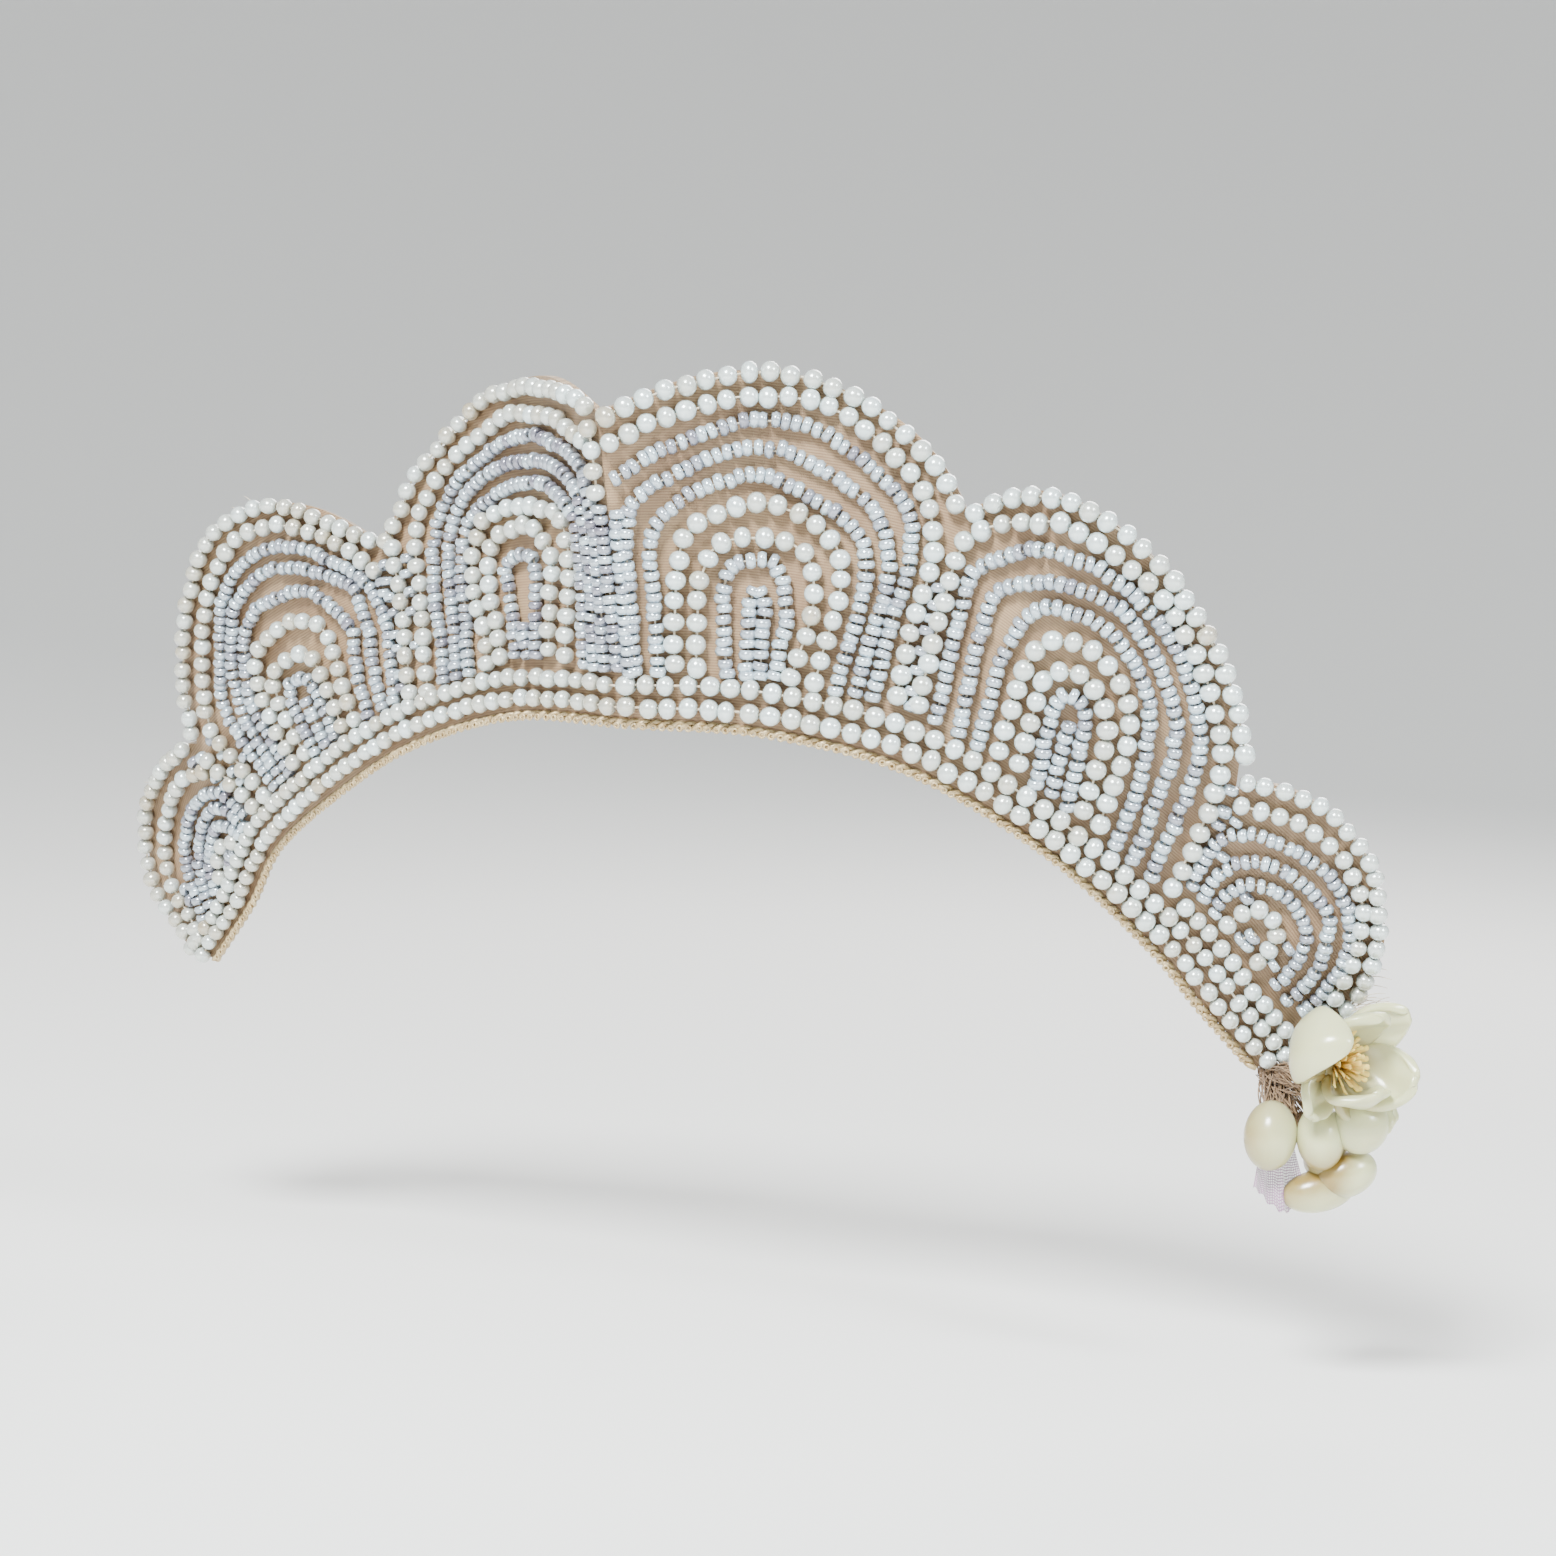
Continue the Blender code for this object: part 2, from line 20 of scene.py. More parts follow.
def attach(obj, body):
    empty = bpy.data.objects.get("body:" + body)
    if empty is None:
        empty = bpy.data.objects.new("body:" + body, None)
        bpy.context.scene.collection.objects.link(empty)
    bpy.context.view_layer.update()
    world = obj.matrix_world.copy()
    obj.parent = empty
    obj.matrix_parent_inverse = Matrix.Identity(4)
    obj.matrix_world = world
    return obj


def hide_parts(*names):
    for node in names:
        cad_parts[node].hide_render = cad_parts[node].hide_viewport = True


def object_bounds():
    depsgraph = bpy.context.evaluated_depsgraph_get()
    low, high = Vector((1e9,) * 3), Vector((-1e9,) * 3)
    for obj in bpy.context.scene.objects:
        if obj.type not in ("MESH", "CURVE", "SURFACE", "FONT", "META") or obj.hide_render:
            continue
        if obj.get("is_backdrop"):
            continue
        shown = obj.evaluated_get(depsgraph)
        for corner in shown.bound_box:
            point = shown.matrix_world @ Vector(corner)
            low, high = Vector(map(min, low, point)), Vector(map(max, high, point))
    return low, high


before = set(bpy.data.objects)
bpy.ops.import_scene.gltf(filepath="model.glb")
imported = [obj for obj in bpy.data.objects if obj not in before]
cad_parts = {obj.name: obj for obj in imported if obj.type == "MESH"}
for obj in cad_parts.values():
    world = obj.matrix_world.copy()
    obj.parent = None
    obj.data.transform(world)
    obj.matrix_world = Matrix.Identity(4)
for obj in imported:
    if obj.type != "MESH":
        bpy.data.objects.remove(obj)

MM = 0.001
solid_box = [list(corner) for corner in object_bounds()]
chance = random.Random(7)
print("solids:", sorted(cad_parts))
print("box of the solids in mm:", [[round(c / MM, 1) for c in corner] for corner in solid_box])


# %% Small helpers for vectors and selection
def unit(v):
    v = np.asarray(v, float)
    return v / np.linalg.norm(v)


def run_along(points):
    """Length of the way from the first point to each of the points."""
    steps = np.linalg.norm(np.diff(np.asarray(points), axis=0), axis=1)
    return np.concatenate([[0.0], np.cumsum(steps)])


def nothing_selected():
    """Leaves edit mode and deselects all, so that an operator acts on new work alone."""
    if bpy.context.object and bpy.context.object.mode != "OBJECT":
        bpy.ops.object.mode_set(mode="OBJECT")
    bpy.ops.object.select_all(action="DESELECT")


def only(piece):
    nothing_selected()
    piece.select_set(True)
    bpy.context.view_layer.objects.active = piece


def apply_modifiers(piece):
    only(piece)
    for mod in list(piece.modifiers):
        bpy.ops.object.modifier_apply(modifier=mod.name)


def join_as(name, parts):
    """Joins the parts into one piece of that name."""
    nothing_selected()
    for part in parts:
        part.select_set(True)
    bpy.context.view_layer.objects.active = parts[0]
    if len(parts) > 1:
        bpy.ops.object.join()
    parts[0].name = name
    parts[0].data.name = name
    return parts[0]


def copy_of(model, place, x, y, z):
    """A copy of a model with its own mesh, its axes laid along x, y and z, moved to a place."""
    copied = model.copy()
    copied.data = model.data.copy()
    bpy.context.scene.collection.objects.link(copied)
    turn = Matrix([x, y, z]).transposed().to_4x4()
    copied.data.transform(Matrix.Translation(Vector(place)) @ turn)
    return copied


print("helpers ready")


# %% [markdown]
# The camera stands where the photograph was taken from: a little to the
# wearer's left of straight ahead, somewhat above the crown and rolled by a few
# degrees. The place was fitted to points read on the band. A long lens aimed
# at the middle of the crown fills the picture with it. It could be turned with
# a track constraint, but a matrix built from the three directions keeps the
# roll as well.

# %% Camera at the photograph's viewing angle
def view_directions(turn, rise, roll):
    """Right, up and back of a camera, turned from -Y towards +X, in degrees."""
    turn, rise, roll = math.radians(turn), math.radians(rise), math.radians(roll)
    back = np.array([math.sin(turn) * math.cos(rise), -math.cos(turn) * math.cos(rise), math.sin(rise)])
    level = np.array([math.cos(turn), math.sin(turn), 0.0])
    upright = np.cross(back, level)
    right = math.cos(roll) * level + math.sin(roll) * upright
    return right, np.cross(back, right), back


RIGHT, UP, BACK = view_directions(22.7, 13.9, 2.9)
# Distance of the camera in metres. The slopes count to the right and up for each metre of it, from
# the origin to the camera and from there to what it is aimed at.
DISTANCE = 0.480
PLACE_SLOPES = (0.03472, -0.20573)
AIM_SLOPES = (0.00738, 0.18837)
spot = DISTANCE * (PLACE_SLOPES[0] * RIGHT + PLACE_SLOPES[1] * UP + BACK)
middle = spot + DISTANCE * (AIM_SLOPES[0] * RIGHT + AIM_SLOPES[1] * UP - BACK)


def looking(place, target, up):
    """Matrix of a camera or lamp at place that looks at target."""
    back = unit(np.subtract(place, target))
    right = unit(np.cross(up, back))
    turn = Matrix([right, np.cross(back, right), back]).transposed().to_4x4()
    return Matrix.Translation(Vector(place)) @ turn


nothing_selected()
bpy.ops.object.camera_add()
camera = bpy.context.object
camera.matrix_world = looking(spot, middle, UP)
camera.data.lens = 82.0
camera.data.clip_start = 0.01
bpy.context.scene.camera = camera
print("camera at mm:", [round(float(c) / MM) for c in spot])


# %% [markdown]
# A plain pale floor lies just below the crown and sweeps up far from it on all
# sides, so that no view shows an edge. Three lamps light the beads: a key lamp
# from the upper left gives each bead its highlight, a weaker one fills from
# the right, and one behind lifts the outline. A window picture on the world
# could do this too, but lamps are easier to place and to change.

# %% Floor, lamps and world
# In metres: height of the floor, how far it stays flat, and how far and high it sweeps up.
FLOOR_LEVEL, FLOOR_FLAT, SWEEP_LENGTH, SWEEP_HEIGHT = -0.088, 0.7, 2.3, 1.2
nothing_selected()
bpy.ops.mesh.primitive_grid_add(x_subdivisions=80, y_subdivisions=80, size=8.0)
floor = bpy.context.object
floor.name = "floor"
for vert in floor.data.vertices:
    beyond = max(0.0, (math.hypot(vert.co.x, vert.co.y) - FLOOR_FLAT) / SWEEP_LENGTH)
    vert.co.z = FLOOR_LEVEL + SWEEP_HEIGHT * beyond ** 2
bpy.ops.object.shade_smooth()
floor_paint = bpy.data.materials.new("pale_floor")
floor_paint.use_nodes = True
floor_shader = floor_paint.node_tree.nodes["Principled BSDF"]
floor_shader.inputs["Base Color"].default_value = (0.90, 0.89, 0.87, 1.0)
floor_shader.inputs["Roughness"].default_value = 0.9
floor.data.materials.append(floor_paint)
floor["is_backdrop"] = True


def add_lamp(name, right, up, back, size, power, tint):
    """Area lamp placed from the middle of the crown in the camera's directions, in metres."""
    place = middle + right * RIGHT + up * UP + back * BACK
    nothing_selected()
    bpy.ops.object.light_add(type="AREA")
    lamp = bpy.context.object
    lamp.name = name
    lamp.matrix_world = looking(place, middle, UP)
    lamp.data.size = size
    lamp.data.energy = power
    lamp.data.color = tint


add_lamp("key_lamp", -0.22, 0.46, 0.72, 0.24, 23.0, (0.96, 1.0, 1.0))
add_lamp("fill_lamp", 0.62, 0.30, 0.62, 0.20, 7.0, (0.90, 0.97, 1.0))
add_lamp("rim_lamp", 0.25, 0.60, -0.55, 0.50, 6.0, (1.0, 0.98, 0.96))
world = bpy.data.worlds.new("soft_room")
world.use_nodes = True
world.node_tree.nodes["Background"].inputs["Color"].default_value = (0.94, 0.98, 1.0, 1.0)
world.node_tree.nodes["Background"].inputs["Strength"].default_value = 0.72
bpy.context.scene.world = world
print("floor, 3 lamps and a pale world")


# %% [markdown]
# Every finish is a node material. Three effects are used by more than one of
# them, so each is a node group with named sockets, built once: cloudy colour
# for what is never quite even, fine threads for the silk and the tulle, and
# the tone of each bead or petal, which is read from an attribute painted on
# its mesh. A picture could carry them too, but nodes stay sharp at any size
# and belong to nobody.

# %% Node helpers and shared effects
def add_node(tree, kind, settings=None, **inputs):
    node = tree.nodes.new(kind)
    for key, value in (settings or {}).items():
        setattr(node, key, value)
    for key, value in inputs.items():
        socket = node.inputs[key.replace("_", " ")]
        if isinstance(value, bpy.types.NodeSocket):
            tree.links.new(value, socket)
        else:
            socket.default_value = value
    return node


def new_group(name, inputs, outputs):
    group = bpy.data.node_groups.new(name, "ShaderNodeTree")
    for label, kind, value in inputs:
        socket = group.interface.new_socket(name=label, in_out="INPUT", socket_type="NodeSocket" + kind)
        if value is not None:
            socket.default_value = value
    for label, kind in outputs:
        group.interface.new_socket(name=label, in_out="OUTPUT", socket_type="NodeSocket" + kind)
    start = group.nodes.new("NodeGroupInput")
    end = group.nodes.new("NodeGroupOutput")
    return group, start.outputs, end.inputs


def maths(tree, operation, a, b=None):
    node = tree.nodes.new("ShaderNodeMath")
    node.operation = operation
    for i, value in enumerate((a, b)):
        if isinstance(value, bpy.types.NodeSocket):
            tree.links.new(value, node.inputs[i])
        elif value is not None:
            node.inputs[i].default_value = value
    return node.outputs[0]


def blend_colours(tree, share, a, b):
    node = tree.nodes.new("ShaderNodeMix")
    node.data_type = "RGBA"
    for socket, value in ((node.inputs[0], share), (node.inputs[6], a), (node.inputs[7], b)):
        if isinstance(value, bpy.types.NodeSocket):
            tree.links.new(value, socket)
        else:
            socket.default_value = value
    return node.outputs[2]


def build_cloudy():
    group, given, made = new_group(
        "cloudy_colour",
        [("Light", "Color", (1, 1, 1, 1)), ("Dark", "Color", (0.5, 0.5, 0.5, 1)), ("Scale", "Float", 100.0)],
        [("Color", "Color"), ("Mask", "Float")],
    )
    place = add_node(group, "ShaderNodeTexCoord").outputs["Object"]
    noise = add_node(group, "ShaderNodeTexNoise", Vector=place, Scale=given["Scale"], Detail=3.0, Roughness=0.6)
    ramp = add_node(group, "ShaderNodeMapRange", Value=noise.outputs["Fac"])
    ramp.inputs["From Min"].default_value = 0.32
    ramp.inputs["From Max"].default_value = 0.68
    group.links.new(ramp.outputs[0], made["Mask"])
    group.links.new(blend_colours(group, ramp.outputs[0], given["Light"], given["Dark"]), made["Color"])
    return group


def build_threads():
    """Crossed threads on a UV map in metres. Across and Along are threads to the metre."""
    group, given, made = new_group(
        "fine_threads",
        [("Across", "Float", 2500.0), ("Along", "Float", 2500.0)],
        [("Height", "Float"), ("Gaps", "Float"), ("Ribs", "Float")],
    )
    parts = add_node(group, "ShaderNodeSeparateXYZ", Vector=add_node(group, "ShaderNodeUVMap").outputs[0])
    waves = []
    for i, label in enumerate(("Across", "Along")):
        turns = maths(group, "MULTIPLY", parts.outputs[i], given[label])
        wave = maths(group, "SINE", maths(group, "MULTIPLY", turns, 2 * math.pi))
        waves.append(maths(group, "ABSOLUTE", wave))
    high = maths(group, "MAXIMUM", waves[0], waves[1])
    low = maths(group, "MINIMUM", waves[0], waves[1])
    height = maths(group, "ADD", maths(group, "MULTIPLY", high, 0.7), maths(group, "MULTIPLY", low, 0.3))
    group.links.new(height, made["Height"])
    group.links.new(maths(group, "SUBTRACT", 1.0, high), made["Gaps"])
    group.links.new(maths(group, "SUBTRACT", 1.0, waves[1]), made["Ribs"])
    return group


def build_tone():
    """Colour between two ends by a painted attribute. On beads and wax the attribute also holds painted shade."""
    group, given, made = new_group(
        "painted_tone",
        [("Low", "Color", (0.5, 0.5, 0.5, 1)), ("High", "Color", (1, 1, 1, 1))],
        [("Color", "Color")],
    )
    tone = add_node(group, "ShaderNodeAttribute", {"attribute_name": "tone"}).outputs["Fac"]
    group.links.new(blend_colours(group, tone, given["Low"], given["High"]), made["Color"])
    return group


CLOUDY, THREADS, TONE = build_cloudy(), build_threads(), build_tone()


def use_group(tree, group, **inputs):
    node = tree.nodes.new("ShaderNodeGroup")
    node.node_tree = group
    for key, value in inputs.items():
        if isinstance(value, bpy.types.NodeSocket):
            tree.links.new(value, node.inputs[key])
        else:
            node.inputs[key].default_value = value
    return node


def new_finish(name, roughness, **plain):
    """Material with its Principled shader. plain sets the shader's own sockets."""
    finish = bpy.data.materials.new(name)
    finish.use_nodes = True
    shader = finish.node_tree.nodes["Principled BSDF"]
    shader.inputs["Roughness"].default_value = roughness
    for key, value in plain.items():
        shader.inputs[key.replace("_", " ")].default_value = value
    return finish, finish.node_tree, shader


def add_bump(tree, shader, height, distance, strength=0.5):
    bump = add_node(tree, "ShaderNodeBump", Height=height, Distance=distance, Strength=strength)
    tree.links.new(bump.outputs[0], shader.inputs["Normal"])


def cloudy_finish(name, roughness, light, dark, scale, bump=None, **plain):
    """Material with two colours in clouds. bump is the distance and strength of their relief."""
    finish, tree, shader = new_finish(name, roughness, **plain)
    clouds = use_group(tree, CLOUDY, Light=(*light, 1), Dark=(*dark, 1), Scale=scale)
    tree.links.new(clouds.outputs["Color"], shader.inputs["Base Color"])
    if bump:
        add_bump(tree, shader, clouds.outputs["Mask"], *bump)
    return finish


print("shared effects:", [g.name for g in (CLOUDY, THREADS, TONE)])


# %% [markdown]
# The beads are glass with a pearly coat. On the real crown the large ones are
# chalk white with some cream among them, and the small ones have a pale blue
# or lilac lustre. Colour differs from bead to bead, so it comes from the tone
# painted on each one, with faint clouds over it. The tone also holds painted
# shade, darker on the wearer's right and in the fold of the crease. A clear
# coat gives the sharp highlight and a little light passes under the surface.

# %% Bead finishes
def bead_finish(name, low, high, cloud, roughness, metal):
    finish, tree, shader = new_finish(name, roughness, Metallic=metal, Coat_Weight=1.0, Coat_Roughness=0.05,
                                      IOR=1.55, Subsurface_Weight=0.12, Subsurface_Scale=0.0004)
    shader.inputs["Subsurface Radius"].default_value = (1.0, 0.9, 0.8)
    tone = use_group(tree, TONE, Low=low, High=high)
    clouds = use_group(tree, CLOUDY, Scale=900.0)
    share = maths(tree, "MULTIPLY", clouds.outputs["Mask"], 0.35)
    colour = blend_colours(tree, share, tone.outputs["Color"], cloud)
    tree.links.new(colour, shader.inputs["Base Color"])
    add_bump(tree, shader, clouds.outputs["Mask"], 0.00004, 0.3)
    return finish


big_glass = bead_finish("pearl_white_glass", (0.45, 0.36, 0.22, 1), (0.70, 0.78, 0.77, 1),
                        (0.48, 0.56, 0.61, 1), 0.24, 0.32)
small_glass = bead_finish("lilac_lustre_glass", (0.20, 0.19, 0.24, 1), (0.55, 0.66, 0.72, 1),
                          (0.46, 0.46, 0.53, 1), 0.18, 0.42)
string_finish = cloudy_finish("linen_string", 0.8, (0.74, 0.66, 0.52), (0.55, 0.44, 0.31), 700.0, Sheen_Weight=0.3)
print("finishes:", big_glass.name, small_glass.name, string_finish.name)


# %% [markdown]
# The band's shape is one table for each side: a row for every valley and every
# middle of a scallop. Between rows the values run on smoothly, and every point
# of the cloth is the lower edge plus a height along a direction that leans. The
# values began as a fit to points read in the photograph, rounded, and some
# were then corrected.
# Beads need the same surface as the cloth does, so the table comes as
# functions that give a point and the way out for any station and height.

# %% The band as a surface
HALF_SPAN, SET_BACK, DROP, PEAK = 84.0 * MM, 33.0 * MM, 43.5 * MM, 52.0 * MM
CLOTH = 1.2 * MM
SIDES = {
    # across, back, down, height, lean, tip
    -1: [(0.00, 0.00, 0.00, 0.83, 0.06, -0.22), (0.22, 0.08, 0.01, 0.885, 0.15, 0.08),
         (0.44, 0.24, 0.13, 0.585, 0.32, 0.10), (0.63, 0.45, 0.31, 0.83, 0.53, -0.05),
         (0.82, 0.73, 0.54, 0.40, 0.72, -0.06), (0.91, 0.88, 0.77, 0.46, 0.91, 0.16),
         (1.01, 0.99, 1.00, 0.12, 0.94, 0.24)],
    1: [(0.00, 0.00, 0.00, 0.83, -0.06, -0.22), (0.22, 0.11, 0.01, 0.955, -0.06, -0.02),
        (0.45, 0.26, 0.10, 0.69, 0.17, 0.05), (0.66, 0.45, 0.32, 0.905, 0.15, -0.11),
        (0.82, 0.75, 0.62, 0.48, 0.45, -0.08), (0.90, 0.87, 0.81, 0.54, 0.86, 0.12),
        (0.98, 1.00, 1.00, 0.17, 0.84, 0.30)],
}
OUTLINES = {
    # roundness and skew of each scallop, from the middle out
    -1: [(1.10, 0.10), (1.20, 0.10), (0.85, -0.15)],
    1: [(1.00, -0.45), (0.85, -0.45), (0.80, 0.40)],
}


def smooth_row(rows, k):
    """The table's values at station k, smooth through its rows."""
    rows = np.asarray(rows, float)
    last = len(rows) - 1
    i = max(min(int(k), last - 1), 0)
    t = k - i
    p0, p1 = rows[i], rows[i + 1]
    m0 = (p1 - rows[i - 1]) / 2 if i > 0 else p1 - p0
    m1 = (rows[i + 2] - p0) / 2 if i + 2 <= last else p1 - p0
    return ((2 * t ** 3 - 3 * t ** 2 + 1) * p0 + (t ** 3 - 2 * t ** 2 + t) * m0
            + (3 * t ** 2 - 2 * t ** 3) * p1 + (t ** 3 - t ** 2) * m1)


def foot_and_rise(side, k):
    row = smooth_row(SIDES[side], k)
    foot = np.array([side * row[0] * HALF_SPAN, row[1] * SET_BACK, -row[2] * DROP])
    rise = np.array([side * row[4], row[5], 0.0])
    rise[2] = math.sqrt(max(1.0 - rise[0] ** 2 - rise[1] ** 2, 0.04))
    return foot, unit(rise)


def top_height(side, k):
    """Height of the scalloped outline above the lower edge."""
    rows = SIDES[side]
    i = min(int(k // 2), 2)
    u = (k - 2 * i) / 2.0
    h0, h1, h2 = (rows[2 * i + j][3] for j in range(3))
    flat, skew = OUTLINES[side][i]
    v = u + skew * u * (1.0 - u)
    arc = max(1.0 - (2.0 * v - 1.0) ** 2, 0.0) ** flat
    return (h0 + (h2 - h0) * u + (h1 - (h0 + h2) / 2.0) * arc) * PEAK


def on_band(side, k, q, out=0.0):
    """Point at height q on station k, out in front of the middle of the cloth, and the way out there."""
    foot, rise = foot_and_rise(side, k)
    lo, hi = max(k - 0.05, 0.0), min(k + 0.05, 6.0)
    foot_lo, rise_lo = foot_and_rise(side, lo)
    foot_hi, rise_hi = foot_and_rise(side, hi)
    along = (foot_hi + q * rise_hi) - (foot_lo + q * rise_lo)
    normal = unit(np.cross(along, rise) * side)
    return foot + q * rise + out * normal, normal


edge = [foot_and_rise(-1, 6 - i / 20)[0] for i in range(121)]
edge += [foot_and_rise(1, i / 20)[0] for i in range(1, 121)]
EDGE_RUN = run_along(edge)
print("lower edge: %.1f mm" % (EDGE_RUN[-1] / MM))


# %% [markdown]
# Peach-tan silk covers the stiffening and shows between the strings as warm
# lines. A cloth simulation would let it sag, but on the crown it is stretched
# tight over a stiff ground, so a grid is laid straight on the surface of the
# table and given its thickness. Its UV map is in metres, so the weave keeps
# the true size of the threads.

# %% Silk finish
silk, silk_tree, silk_shader = new_finish("peach_silk", 0.55, Sheen_Weight=0.35, Sheen_Roughness=0.4)
silk_threads = use_group(silk_tree, THREADS, Across=2600.0, Along=1300.0)
silk_clouds = use_group(silk_tree, CLOUDY, Light=(0.40, 0.27, 0.15, 1), Dark=(0.30, 0.185, 0.10, 1), Scale=160.0)
# The dark brown between the ribs of the weave is partly the cloth's rib pattern and partly painted shade in the
# grooves.
silk_groove_shade = maths(silk_tree, "MULTIPLY", silk_threads.outputs["Ribs"], 0.75)
silk_colour = blend_colours(silk_tree, silk_groove_shade, silk_clouds.outputs["Color"], (0.17, 0.09, 0.045, 1))
silk_tree.links.new(silk_colour, silk_shader.inputs["Base Color"])
add_bump(silk_tree, silk_shader, silk_threads.outputs["Height"], 0.00008, 0.6)


# %% Silk band
def add_grid(name, columns, rows):
    nothing_selected()
    bpy.ops.mesh.primitive_grid_add(x_subdivisions=columns, y_subdivisions=rows, size=1.0)
    sheet = bpy.context.object
    sheet.name = name
    return sheet


def shape_grid(sheet, place, metres):
    """Sets each point by place(u, v) and the UV map by metres(u, v)."""
    shares = [(v.co.x + 0.5, v.co.y + 0.5) for v in sheet.data.vertices]
    for vert, (u, v) in zip(sheet.data.vertices, shares):
        vert.co = place(u, v)
    uv = sheet.data.uv_layers.active.data
    for loop in sheet.data.loops:
        uv[loop.index].uv = metres(*shares[loop.vertex_index])
    sheet.data.update()


def station(u):
    """Side and station at share u of the way from the wearer's right end to the left end."""
    return (-1, 6.0 - 12.0 * u) if u < 0.5 else (1, 12.0 * u - 6.0)


def silk_place(u, v):
    side, k = station(u)
    return on_band(side, k, v * (top_height(side, k) - 0.2 * MM))[0]


def silk_metres(u, v):
    side, k = station(u)
    return float(np.interp(u * COLUMNS, range(COLUMNS + 1), EDGE_RUN)), v * top_height(side, k)


COLUMNS = len(EDGE_RUN) - 1
silk_band = add_grid("silk_band", COLUMNS, 22)
shape_grid(silk_band, silk_place, silk_metres)
wall = silk_band.modifiers.new("wall", "SOLIDIFY")
wall.thickness = CLOTH
wall.offset = 0.0
wall.use_even_offset = True
apply_modifiers(silk_band)
only(silk_band)
bpy.ops.object.shade_smooth_by_angle(angle=math.radians(40))
silk_band.data.materials.append(silk)
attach(silk_band, "root")
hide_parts("cloth_band")


# %% [markdown]
# Two kinds of bead make all of the pattern: a large round one and a short
# small ring. Each is modelled once from a primitive, with few faces because it
# is repeated hundreds of times, and then copied. A particle system or
# instances could scatter them, but strings need each bead turned to its
# thread, so a matrix is set for each copy. The hole runs along Z.

# %% Model beads
def model_big_bead():
    nothing_selected()
    bpy.ops.mesh.primitive_uv_sphere_add(segments=12, ring_count=8, radius=1.47 * MM)
    bead = bpy.context.object
    bpy.ops.object.mode_set(mode="EDIT")
    bpy.ops.transform.resize(value=(1.0, 1.0, 0.95))
    bpy.ops.mesh.select_all(action="DESELECT")
    shell = bmesh.from_edit_mesh(bead.data)
    for vert in shell.verts:
        vert.select_set(abs(vert.co.z) > 1.36 * MM)
    shell.select_flush(True)
    bmesh.update_edit_mesh(bead.data)
    bpy.ops.transform.resize(value=(1.0, 1.0, 0.75))
    bpy.ops.object.mode_set(mode="OBJECT")
    bpy.ops.object.shade_smooth()
    return bead


def model_small_bead():
    nothing_selected()
    bpy.ops.mesh.primitive_torus_add(major_segments=10, minor_segments=6,
                                     major_radius=0.78 * MM, minor_radius=0.45 * MM)
    bead = bpy.context.object
    bpy.ops.object.mode_set(mode="EDIT")
    bpy.ops.transform.resize(value=(1.0, 1.0, 1.55))
    bpy.ops.object.mode_set(mode="OBJECT")
    bpy.ops.object.shade_smooth()
    return bead


def paint_tone(mesh, values):
    """Writes a tone, one value or one for each point, to the mesh."""
    tone = mesh.attributes.get("tone") or mesh.attributes.new("tone", "FLOAT", "POINT")
    values = np.broadcast_to(np.asarray(values, dtype=np.float32), len(mesh.vertices))
    tone.data.foreach_set("value", np.ascontiguousarray(values))


MODELS = {"big": model_big_bead(), "small": model_small_bead()}
PITCH = {"big": 2.90 * MM, "small": 1.47 * MM}
REACH = {"big": 1.45 * MM, "small": 1.12 * MM}
LIFT = {"big": CLOTH / 2 + 1.36 * MM, "small": CLOTH / 2 + 1.10 * MM}
for kind, model in MODELS.items():
    paint_tone(model.data, 0.5)
    model.data.materials.append({"big": big_glass, "small": small_glass}[kind])
    model.hide_render = True
print("faces:", {kind: len(model.data.polygons) for kind, model in MODELS.items()})
